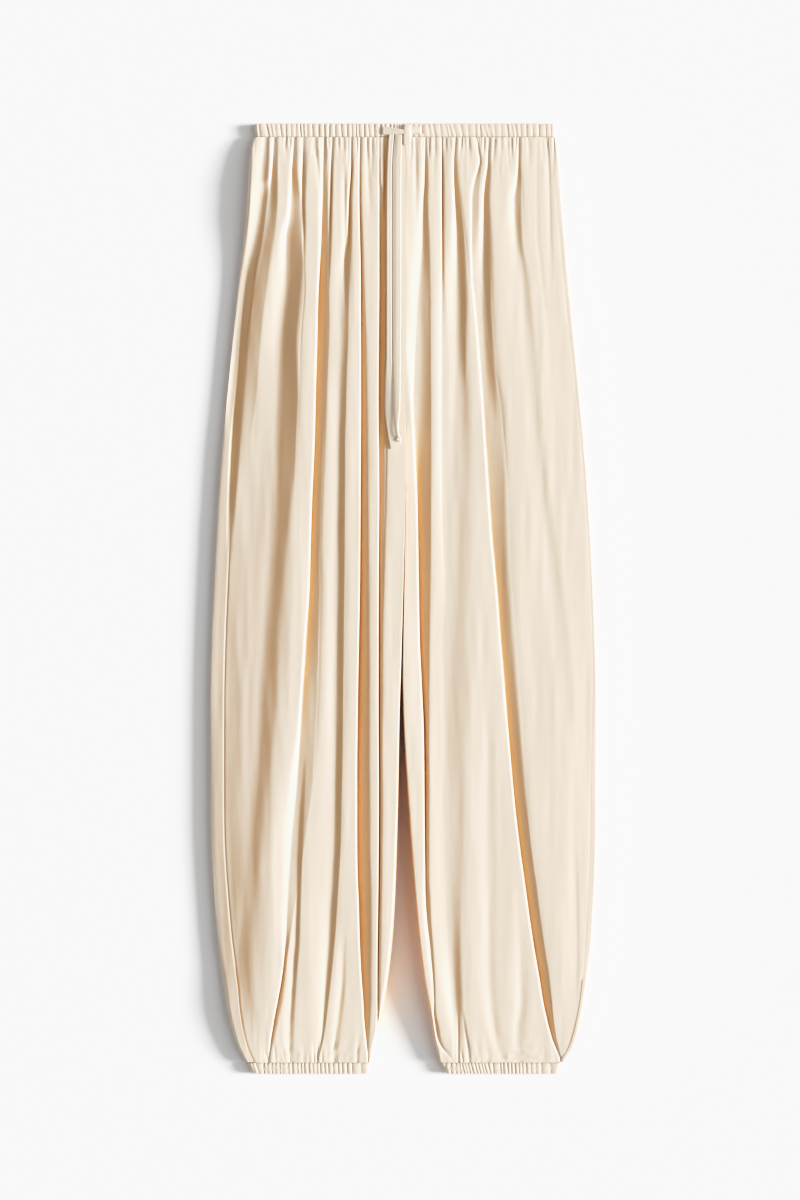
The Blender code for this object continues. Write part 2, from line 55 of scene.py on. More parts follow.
RISE = 375.0
TOP_Y = LENGTH * MM / 2

# The legs' outline: rolls at the side, between the legs and below are shares of the loft.
RIM_SHARE = 0.42  # height of the silhouette's widest line
OUTER_ROLL = 0.5
INNER_ROLL = 0.4  # at most
UNDER_ROLL = 0.34
CROTCH_BLEND = 55.0  # length over which the inseams part
PARTING = 190.0  # length over which the gap between the legs opens

# The cloth's relief.
FULL_LOFT = 27.0  # the loft at which the creases have their stated depth
RELIEF = 0.75  # the share of a crease's stated depth that the cloth keeps
SHOULDER_SLOPE = 0.075
LOWEST_VALLEY = 3.4  # the least height of a trough, and of one near the side
LOWEST_EDGE = 2.2
EDGE_REACH = (22.0, 16.0)  # where the side's lower troughs stop, and over what width
EDGE_SPAN = (150, 900)  # the distances down between which they lie lower
VALLEY_SOFTNESS = 0.5
SWELL_CELL = (34, 150)  # size of the noise, across and down, from the broadest to the finest
RIPPLE_CELL = (6.5, 62)
CRINKLE_CELL = (3.2, 26)
SWELL_DEPTH = 0.9
RIPPLE_DEPTH = 0.22
CRINKLE_DEPTH = (0.05, 0.3)  # everywhere, and more at the casings
CRINKLE_REACH = (40, 34)  # how far from the waistband and from the cuff
UNDER_REACH = (60, 45)  # the same for the underside's gathers
UNDER_GATHERS = 2.2
UNDER_HOLLOWS = 2.0
UNDER_MARGIN = 6

# The shells.
CLOTH_WALL = 0.6
CASING_GAP = 0.3  # between a panel's end and the casing
GROOVE_LIMIT = 2.6  # how much deeper than its wall a shell's hidden side may lie under a groove
HIDDEN_SHARE = 0.5  # the painted light on the hidden side, as a share of the outer side's
SEAM_HALF_GAP = 0.05
FLAT_ANGLE = 75.0  # degrees past which an edge is sharp

# Light on the cloth, painted into its colour as shade: what reaches it directly and from the open sky, and
# what hides it.
LIGHT_HEIGHT = 19.3  # degrees above the surface
LIGHT_BLUR = 8.0  # degrees each way over which its shadow fades
LIT_SHARE = 0.55
SEEN_SHARE = 0.45
PROFILE_STEP = 0.4
HORIZON_REACHES = (2, 3, 4.5, 6.5, 9, 13, 18, 25, 35)  # how far away higher cloth is looked for
OTHER_LEG = (0.0, 4.0, 30.0)  # places on the other leg, from the gap's far side
ROLL_LIGHT = (0.8, 0.5)  # where the side's roll ends and over what width, as shares of the roll
GAP_EDGE_PAINTED_LIGHT = 0.92
GAP_EDGE_WIDTH = 1.4
CASING_SHADE = (0.4, 0.6)  # the share of the painted shade at a casing, and what comes back away from it
CASING_SHADE_REACH = 45
TIE_SHADE_SHIFT = 2
INSIDE_SPAN = (0.74, 0.22)  # heights between which the painted shade on the side in the gap lifts, as shares of the loft
INSIDE_PAINTED_LIGHT = (0.12, 0.5)  # the painted light at its foot where the gap is narrow, and what a wide gap adds
INSIDE_WIDTHS = (36, 40)

# Types. A curve is pairs of a distance down and a value, or one value for everywhere.
Points = tuple[tuple[float, float], ...]
Curve = Points | float
Values = dict[str | int, Any]
Join = tuple[bpy.types.Node, str | int, bpy.types.Node, str | int]
Group = tuple[bpy.types.NodeTree, bpy.types.Node, bpy.types.Node]

# Width of the roll between the legs, going down.
INNER_FOLD = (
    (375, 0.4), (500, 0.5), (560, 1.0), (600, 1.8), (640, 2.4), (750, 3.2), (870, 4.0), (960, 4.4),
    (1017, 4.0),
)

# One row for each section of the legs, going down, as in the part's source.
SECTION_COLUMNS = (
    "down", "left_edge", "right_edge", "middle", "half_gap", "loft", "left_seam", "right_seam", "left_inseam",
    "right_inseam",
)
SECTIONS = (
    (14, -163, 164, 1.0, 0.6, 9.0, 17, 7, 0, 0),
    (29, -167, 166, 1.0, 0.6, 12.0, 19, 7, 0, 0),
    (45, -168, 168, 1.0, 0.6, 15.0, 18, 7, 0, 0),
    (94, -171, 172, 1.0, 0.6, 20.0, 17, 7, 0, 0),
    (169, -179, 179, 1.2, 0.6, 24.0, 16, 7, 0, 0),
    (278, -190, 190, 1.6, 0.6, 26.0, 14, 6.5, 0, 0),
    (375, -199, 199, 1.6, 0.6, 27.0, 14, 6, 0, 0),
    (494, -206, 206, -0.5, 0.6, 27.0, 15, 5.5, 3, 2),
    (590, -209.5, 209.5, -2.6, 0.7, 27.0, 15, 6, 5, 3),
    (624, -210, 210, -3.0, 1.4, 27.0, 15, 7, 5, 3),
    (754, -209.5, 209.5, -0.8, 6.2, 26.0, 14.5, 9, 6, 3),
    (873, -203, 205, 1.3, 13.3, 24.0, 15.5, 9, 10, 4),
    (927, -196.5, 198.5, 1.6, 19.5, 21.0, 16, 6, 9, 4),
    (962, -191, 193, 1.9, 25.7, 18.0, 14, 5, 6, 3),
    (1000, -180, 183, 0.8, 33.5, 12.5, 11, 5, 5, 3),
    (1017, -171, 172, 1.0, 37.6, 10.0, 9, 5, 4, 3),
)


class Side(Enum):
    """The two legs, named as the view shows them."""

    LEFT = -1
    RIGHT = 1

    @property
    def word(self) -> str:
        """The side's name in piece and node names."""
        return self.name.lower()


class Layer(Enum):
    """The panels of one leg, and the halves of one casing."""

    FRONT = "front"
    BACK = "back"


@lru_cache(maxsize=None)
def spline(points: Points) -> tuple[np.ndarray, np.ndarray, np.ndarray]:
    """Prepares a smooth curve through a few points, without overshoot.

    Args:
        points: Pairs of a distance down and a value, going down.

    Returns:
        The distances, the values and the slope at each of them.
    """
    stations = np.array([point[0] for point in points], float)
    values = np.array([point[1] for point in points], float)
    tangents = np.zeros(len(values))
    steps = np.diff(stations)
    slopes = np.diff(values) / steps
    same_way = slopes[:-1] * slopes[1:] > 0
    weight_a = 2 * steps[1:] + steps[:-1]
    weight_b = steps[1:] + 2 * steps[:-1]
    safe_a = np.where(same_way, slopes[:-1], 1.0)
    safe_b = np.where(same_way, slopes[1:], 1.0)
    mean = (weight_a + weight_b) / (weight_a / safe_a + weight_b / safe_b)
    tangents[1:-1] = np.where(same_way, mean, 0.0)
    tangents[0] = slopes[0]
    tangents[-1] = slopes[-1]
    return stations, values, tangents


def along(points: Curve, down: float | np.ndarray) -> np.ndarray:
    """Reads a smooth curve.

    Args:
        points: Pairs of a distance down and a value, going down, or one value for everywhere.
        down: Where to read it. Past either end the end value holds.

    Returns:
        The value at each distance.
    """
    if not isinstance(points, tuple):
        return np.full(np.shape(down), float(points))
    stations, values, tangents = spline(points)
    at = np.clip(down, stations[0], stations[-1])
    i = np.clip(np.searchsorted(stations, at) - 1, 0, len(stations) - 2)
    step = stations[i + 1] - stations[i]
    t = (at - stations[i]) / step
    return (
        (1 + 2 * t) * (1 - t) ** 2 * values[i]
        + t * (1 - t) ** 2 * step * tangents[i]
        + t * t * (3 - 2 * t) * values[i + 1]
        + t * t * (t - 1) * step * tangents[i + 1]
    )


def read(points: Curve, down: float) -> float:
    """Reads a smooth curve at one distance down."""
    return float(along(points, down))


def ramp(value: float | np.ndarray) -> np.ndarray:
    """A soft step from 0 to 1."""
    t = np.clip(value, 0, 1)
    return t * t * (3 - 2 * t)


def squared(wave: np.ndarray, power: float) -> np.ndarray:
    """A sine or cosine raised to a power with its sign kept, which squares off a round section."""
    return np.sign(wave) * np.abs(wave) ** power


def section_points(column: str) -> Points:
    """One column of the sections, as pairs with the distance down."""
    index = SECTION_COLUMNS.index(column)
    return tuple((row[0], row[index]) for row in SECTIONS)


@dataclass(frozen=True)
class Crease:
    """One pleat's trough: a wall down to its foot, a slope up to the right, and a short wall at its end.

    The light comes from the right, so the slope lies in shade and the wall on its left is a bright edge.
    """

    name: str
    foot: Points
    floor: Curve
    depth: Curve = 0.0
    left: Curve = 1.0
    right: Curve = 1.0
    step: Curve = 0.0
    shoulder: Curve = 0.0
    toe: Curve = 0.15
    brow: Curve = 0.1
    lift: Curve = 0.85
    left_power: float = 1.1
    right_power: float = 1.2
    guide: bool = False

    def drop(self, x: np.ndarray, down: float) -> np.ndarray:
        """Works out how far the crease lowers the cloth.

        The trough is local. The step and the shoulder lower all the cloth on the crease's left.

        Args:
            x: Places across.
            down: Distance down.

        Returns:
            The lowering at each place, at full loft.
        """
        depth, step, shoulder = (read(points, down) for points in (self.depth, self.step, self.shoulder))
        if max(depth, abs(step)) < 0.01:
            return np.zeros_like(x)
        foot, end = self.marks(down)
        before = np.maximum(foot - x, 0) / read(self.left, down)
        after = np.maximum(x - end, 0)
        share = self.rise(np.clip((x - foot) / (end - foot), 0, 1), down)
        sides = np.exp(-(before ** self.left_power) - (after / read(self.right, down)) ** self.right_power)
        rounded = SHOULDER_SLOPE * shoulder * np.clip(1 - after / max(shoulder, 0.1), 0, 1) ** 2
        return depth * (1 - read(self.lift, down) * share) * sides + step * (1 - share) + rounded

    def rise(self, share: np.ndarray, down: float) -> np.ndarray:
        """How far up its slope the cloth is, from 0 at the foot to 1, rounded at the toe and the brow.

        Args:
            share: How far along the slope, from 0 to 1.
            down: Distance down.

        Returns:
            The share of the slope's height.
        """
        toe, brow = read(self.toe, down), read(self.brow, down)
        total = 1 - toe / 2 - brow / 2
        start = np.minimum(share, toe) ** 2 / (2 * toe)
        middle = np.clip(share - toe, 0, 1 - toe - brow)
        last = np.clip(share - (1 - brow), 0, brow)
        return (start + middle + last - last ** 2 / (2 * brow)) / total

    def marks(self, down: float) -> tuple[float, float]:
        """The two ends of the slope."""
        foot = read(self.foot, down)
        return foot, foot + max(read(self.floor, down), 0.2)


@dataclass(frozen=True)
class Gather:
    """A short pleat that starts at a casing: where it is there, its length, depth, half width and drift."""

    x: float
    length: float
    depth: float
    width: float
    drift: float = 0.0

    def drop(self, x: np.ndarray, away: float) -> np.ndarray:
        """The lowering at some places, at a distance away from the casing.

        Args:
            x: Places across.
            away: Distance from the casing.

        Returns:
            The lowering at each place.
        """
        if away > self.length or away < 0:
            return np.zeros_like(x)
        share = away / self.length
        width = self.width * (0.4 + 0.8 * share)
        offset = (x - self.x - self.drift * share ** 1.4) / width
        fade = (1 - share) ** 0.8 * (0.55 + 0.45 * min(1.0, away / 4.0))
        return self.depth * fade * np.exp(-np.abs(offset) ** 1.5)


LEFT_CREASES = (
    Crease(
        "strip_wall",
        foot=((140, -170), (191, -176), (278, -183), (353, -190), (470, -194.5)), floor=3.4,
        step=((150, 0), (191, -1.6), (278, -3), (353, -3.2), (420, -1.8), (470, 0)), toe=0.3, brow=0.3,
    ),
    Crease(
        "side_strip",
        foot=(
            (14, -169), (29, -173), (45, -174), (94, -177), (169, -185), (278, -196), (375, -205),
            (494, -212), (590, -215.5), (754, -215.5), (873, -209), (927, -202.5), (962, -197),
            (1000, -186), (1017, -177),
        ),
        floor=(
            (14, 23), (169, 22), (278, 20), (494, 21), (873, 21.5), (927, 22), (962, 20), (1000, 17),
            (1017, 15),
        ),
        step=(
            (14, 0), (120, 1.4), (191, 1.8), (278, 2), (375, 2.2), (450, 2.2), (560, 2.4), (678, 3.6),
            (873, 5), (962, 5), (1000, 2.5), (1017, 0),
        ),
        toe=0.1, brow=0.12,
    ),
    Crease(
        "top_lean",
        foot=((14, -166), (94, -172), (278, -190), (360, -196)), floor=((14, 140), (94, 150), (278, 150)),
        step=((14, 0), (50, 2.4), (120, 3.2), (191, 1.6), (260, 0.6), (330, 0)), toe=0.1, brow=0.3,
    ),
    Crease(
        "seam_rise",
        foot=(
            (14, -150), (45, -153), (83, -156.5), (126, -162.5), (169, -170), (234, -178.5), (300, -185),
            (353, -188.5), (400, -192), (450, -196),
        ),
        floor=((14, 3.5), (45, 7), (83, 8.5), (169, 9), (234, 9.5), (300, 10), (450, 10)),
        depth=((14, 4), (60, 5), (169, 4.5), (234, 3.5), (300, 1.5), (340, 0)),
        left=((14, 3), (60, 9), (300, 14)),
        step=((200, 0), (260, 2), (300, 3.4), (353, 4.4), (400, 3.8), (440, 1.6), (480, 0)),
        shoulder=((240, 0), (353, 3), (440, 2), (480, 0)), toe=0.7, brow=0.05, lift=0.95, left_power=1.6,
    ),
    Crease(
        "side_rise",
        foot=(
            (140, -170), (191, -178), (299, -190), (353, -193), (407, -197.5), (461, -200.5), (537, -203),
            (700, -205), (900, -198),
        ),
        floor=(
            (140, 10), (191, 14), (299, 20), (353, 26), (407, 28), (461, 30), (570, 32), (678, 34),
            (900, 30),
        ),
        step=(
            (120, 0), (191, 3.4), (299, 3.4), (353, 2.8), (407, 3), (461, 3.2), (570, 3.4), (678, 3.4),
            (797, 3), (900, 1.6), (960, 0),
        ),
        toe=0.45, brow=0.52,
    ),
    Crease(
        "outer_slope",
        foot=(
            (250, -168), (353, -172), (461, -188), (570, -194), (678, -196), (797, -194), (900, -186),
            (960, -178), (1000, -168),
        ),
        floor=((250, 25), (353, 30), (461, 42), (570, 42), (678, 38), (797, 30), (900, 22)),
        step=(
            (200, 0), (300, 1.6), (353, 2.2), (461, 4), (570, 4.4), (678, 4.4), (797, 4.4), (900, 4),
            (960, 2.5), (1000, 0),
        ),
        toe=0.3, brow=0.3,
    ),
    Crease(
        "hip_shelf",
        foot=(
            (18, -141.7), (45, -142.8), (83, -147), (126, -155.6), (169, -162.8), (234, -170.4),
            (300, -177), (345, -181.5),
        ),
        floor=(
            (18, 4.3), (45, 4.9), (83, 8.5), (126, 13.3), (169, 15.2), (234, 15.1), (278, 16.5),
            (345, 15.2),
        ),
        depth=((14, 6), (83, 5.4), (126, 3.4), (169, 1.2), (278, 0.6), (318, 0.5), (350, 0.3), (400, 0)),
        left=((14, 1.1), (60, 1.5), (83, 30)), right=((14, 0.8), (300, 1.2), (350, 4)),
        step=((100, 0), (140, 3), (191, 4.8), (278, 4.2), (350, 1), (400, 0)),
        toe=((0, 0.15), (83, 0.6), (126, 0.5), (191, 0.1)), brow=0.04, lift=0.8, guide=True,
    ),
    Crease(
        "broad_hollow",
        foot=(
            (20, -120), (72, -122.3), (100, -124), (126, -128), (169, -128), (234, -134), (300, -139),
            (353, -143.4), (461, -148.8), (570, -157.4), (678, -164), (797, -172.6), (894, -180),
        ),
        floor=(
            (20, 3.5), (50, 4.5), (70, 8), (92, 14), (126, 18), (169, 20), (234, 22), (300, 25), (353, 27),
            (461, 33), (570, 38), (678, 34), (797, 30), (840, 36), (894, 40), (960, 34),
        ),
        depth=((14, 5), (60, 6), (126, 5), (200, 3.2), (300, 1.2), (353, 0.6), (461, 0)),
        left=((14, 1.4), (83, 1.5), (126, 4), (169, 8), (234, 14), (300, 30), (860, 70)),
        right=((14, 0.9), (300, 1.0), (624, 2), (860, 4)),
        step=(
            (90, 0), (126, 3.2), (169, 5.6), (191, 6.6), (234, 7.4), (300, 8.6), (353, 9.0), (461, 9.2),
            (570, 9.0), (678, 8), (797, 7.4), (894, 7), (940, 5), (980, 2.5), (1010, 0),
        ),
        shoulder=((200, 0), (300, 8), (353, 9), (461, 2), (520, 0)),
        toe=((0, 0.4), (126, 0.3), (191, 0.3), (300, 0.35), (461, 0.4), (570, 0.35), (678, 0.3)),
        brow=(
            (0, 0.06), (150, 0.1), (191, 0.35), (234, 0.3), (300, 0.08), (353, 0.06), (461, 0.5),
            (570, 0.6),
        ),
        left_power=1.6, guide=True,
    ),
    Crease(
        "short_tuck",
        foot=((20, -109.6), (45, -109.8), (72, -110.2), (120, -108.8)), floor=((20, 2.8), (120, 2.2)),
        depth=((14, 5), (60, 6), (85, 4), (125, 1.4), (150, 0)), left=1.6,
    ),
    Crease(
        "long_pleat",
        foot=(
            (20, -87.6), (61, -88.2), (126, -89.8), (191, -93), (277, -95.2), (342, -96.8), (418, -100),
            (499, -102.4), (559, -106.6), (624, -111), (710, -116.3), (775, -122.3), (840, -126.5),
            (883, -128.2), (905, -129.8), (927, -132.5), (948, -136.3), (970, -140.5), (992, -144),
            (1013, -147),
        ),
        floor=(
            (20, 3), (61, 5.5), (126, 8.2), (169, 9.4), (234, 11), (277, 10.3), (342, 9.7), (472, 10.3),
            (516, 12.4), (559, 14.6), (624, 17.3), (710, 18), (775, 15.5), (818, 12), (850, 8), (883, 4.5),
            (905, 3), (948, 3.2), (1013, 1.4),
        ),
        depth=(
            (14, 3.5), (61, 4.4), (126, 6.8), (200, 8), (353, 7.2), (461, 7), (570, 7.2), (640, 5.6),
            (700, 4.6), (775, 3.8), (830, 2.8), (868, 2.6), (905, 4.2), (948, 6.6), (992, 6.6), (1015, 3.5),
        ),
        left=(
            (14, 2.2), (83, 2.2), (126, 1.2), (191, 0.7), (600, 0.7), (660, 1.2), (720, 5), (775, 7),
            (850, 6), (890, 2), (905, 0.9), (1015, 0.8),
        ),
        right=(
            (14, 1.5), (191, 1.4), (400, 2.0), (624, 4.5), (710, 6), (775, 6.5), (862, 3.5), (905, 1.4),
            (1013, 1.1),
        ),
        shoulder=((60, 0), (126, 6), (200, 9), (600, 9), (680, 4), (740, 0), (860, 0), (905, 5), (1000, 0)),
        toe=((14, 0.15), (150, 0.2), (191, 0.55), (234, 0.4), (300, 0.1)),
        lift=((0, 0.85), (640, 0.85), (740, 1), (900, 1), (950, 0.85)), left_power=1.4, guide=True,
    ),
    Crease(
        "pleat_line",
        foot=((20, -77.6), (40, -78.4), (61, -79), (83, -79.4), (126, -80.4), (160, -81.5)), floor=1.0,
        depth=((14, 5), (61, 6), (100, 4.5), (150, 1), (175, 0)), left=1.5, right=0.8,
    ),
    Crease(
        "calf_valley",
        foot=(
            (678, -108), (732, -111), (775, -112.7), (818, -114.4), (862, -116), (883, -116.7),
            (905, -118.5), (948, -121.7), (975, -123), (1016, -122.8),
        ),
        floor=((678, 2.5), (905, 3.2), (948, 3.4), (1000, 1.8), (1016, 1.4)),
        depth=((680, 0), (740, 1.6), (818, 2.8), (883, 3.2), (948, 3.4), (992, 3.6), (1016, 3)),
        left=((678, 8), (862, 8), (905, 7), (948, 6), (1016, 3)),
        right=((678, 10), (862, 9), (948, 7), (1016, 3)), toe=0.4, left_power=1.4, right_power=1.3,
    ),
    Crease(
        "soft_pleat_side",
        foot=((40, -65), (120, -64.5), (200, -64)), floor=3, depth=((36, 0), (72, 2), (150, 1.6), (215, 0)),
        left=2.6, right=2.6, left_power=1.6, right_power=1.6,
    ),
    Crease(
        "soft_pleat",
        foot=(
            (20, -57), (45, -57), (81, -58.8), (126, -60), (150, -64), (180, -68.5), (234, -71), (277, -72),
            (353, -71.5), (461, -72.2), (570, -73.5), (678, -74.5), (732, -75.6), (775, -76.4),
            (818, -78.6), (840, -80), (883, -82), (927, -84.8), (948, -86.4), (970, -87.8), (992, -90),
            (1010, -93.4),
        ),
        floor=(
            (20, 1.1), (126, 2.4), (150, 6), (180, 10), (234, 11), (300, 9.5), (353, 7.7), (570, 8),
            (840, 8), (927, 5.5), (970, 3.5), (1010, 1.2),
        ),
        depth=(
            (14, 6), (81, 6), (126, 4.4), (160, 2), (200, 1), (820, 1), (870, 2), (927, 3.2), (992, 3.6),
            (1016, 2.6),
        ),
        left=((14, 1.0), (81, 1.5), (126, 2.8), (200, 10), (840, 10), (927, 6), (1010, 3)),
        right=((14, 0.8), (126, 0.9), (234, 2.4), (840, 3), (970, 3), (1010, 1.5)),
        step=(
            (100, 0), (150, 1.6), (191, 2.6), (353, 3), (678, 3.2), (840, 3.2), (900, 1.6), (950, 0.3),
            (970, 0),
        ),
        shoulder=((100, 0), (180, 5), (840, 6.5), (930, 3), (980, 0)),
        toe=((20, 0.15), (150, 0.5), (191, 0.7), (353, 0.8), (840, 0.8), (927, 0.5), (970, 0.2)),
        left_power=1.5, right_power=1.3, guide=True,
    ),
    Crease(
        "deep_pleat",
        foot=(
            (20, -47.4), (45, -48.3), (83, -48.3), (126, -47.4), (169, -46.7), (299, -46.6), (407, -47.1),
            (494, -47.7), (559, -48.8), (624, -50), (710, -50.9), (775, -50.9), (818, -50.3), (840, -49.2),
            (883, -48.1), (927, -46), (948, -44.4), (970, -43.3), (992, -41.1), (1010, -39.5),
        ),
        floor=(
            (20, 1.5), (83, 1.6), (169, 2.2), (234, 4.3), (299, 5.4), (407, 6.5), (494, 7.5), (559, 9.2),
            (624, 10.5), (710, 11.4), (775, 11.9), (818, 12.4), (840, 11.4), (883, 10.3), (927, 8.1),
            (970, 5.4), (992, 2.7), (1010, 1.2),
        ),
        depth=(
            (14, 4), (45, 4.5), (100, 5.4), (170, 6), (299, 6.6), (407, 7.4), (494, 8.6), (570, 9.8),
            (678, 10.4), (797, 11), (850, 10.6), (948, 8.5), (992, 6), (1016, 4),
        ),
        left=((14, 0.9), (170, 0.6)), right=((14, 0.9), (169, 0.9), (300, 1.3), (1016, 1.4)),
        shoulder=((80, 0), (170, 6), (299, 9), (860, 9), (940, 6), (1000, 0)),
        toe=((0, 0.06), (810, 0.06), (870, 0.35), (930, 0.4), (1000, 0.1)), brow=0.03, left_power=1.4,
        right_power=0.9, guide=True,
    ),
    Crease(
        "cuff_valley",
        foot=((880, -66), (927, -67), (948, -69), (970, -71.2), (992, -74), (1010, -76.4)),
        floor=((880, 4.5), (948, 3.5), (1010, 1.2)),
        depth=((865, 0), (927, 2), (970, 2.8), (992, 3.2), (1015, 3)), left=((880, 5), (1010, 3)),
        right=((880, 5), (1010, 3)), left_power=1.5, right_power=1.3,
    ),
    Crease(
        "centre_pleat",
        foot=(
            (20, -27.1), (126, -26.8), (169, -26.8), (234, -27.3), (299, -27.6), (407, -27.1), (494, -27.6),
            (624, -27.6), (732, -27.1), (818, -27.6), (862, -28.1), (905, -28.7), (1000, -29),
        ),
        floor=(
            (20, 1.2), (61, 1.2), (83, 6), (169, 7), (234, 7.6), (299, 8), (353, 7.6), (461, 5), (570, 2.6),
            (732, 1.8), (862, 1.5), (948, 1.1), (1000, 0.8),
        ),
        depth=(
            (14, 3), (61, 3.5), (83, 5), (170, 6), (299, 5.4), (353, 5), (461, 5.4), (570, 7), (678, 8.5),
            (797, 10), (893, 10.5), (948, 8.5), (980, 4), (1000, 0),
        ),
        left=((14, 0.8), (170, 0.6), (600, 0.5), (950, 0.5)),
        shoulder=((80, 0), (170, 4), (353, 4), (500, 7), (900, 7), (960, 0)), toe=0.1,
        brow=((0, 0.1), (234, 0.3), (353, 0.6), (461, 0.4), (570, 0.1)), left_power=1.4, guide=True,
    ),
    Crease(
        "centre_shadow",
        foot=((20, -22.4), (61, -21.8), (110, -21.6)), floor=((20, 4.3), (45, 3.5), (83, 1.8)),
        depth=((14, 6), (45, 6), (83, 4), (115, 1), (135, 0)), right=0.9,
    ),
)

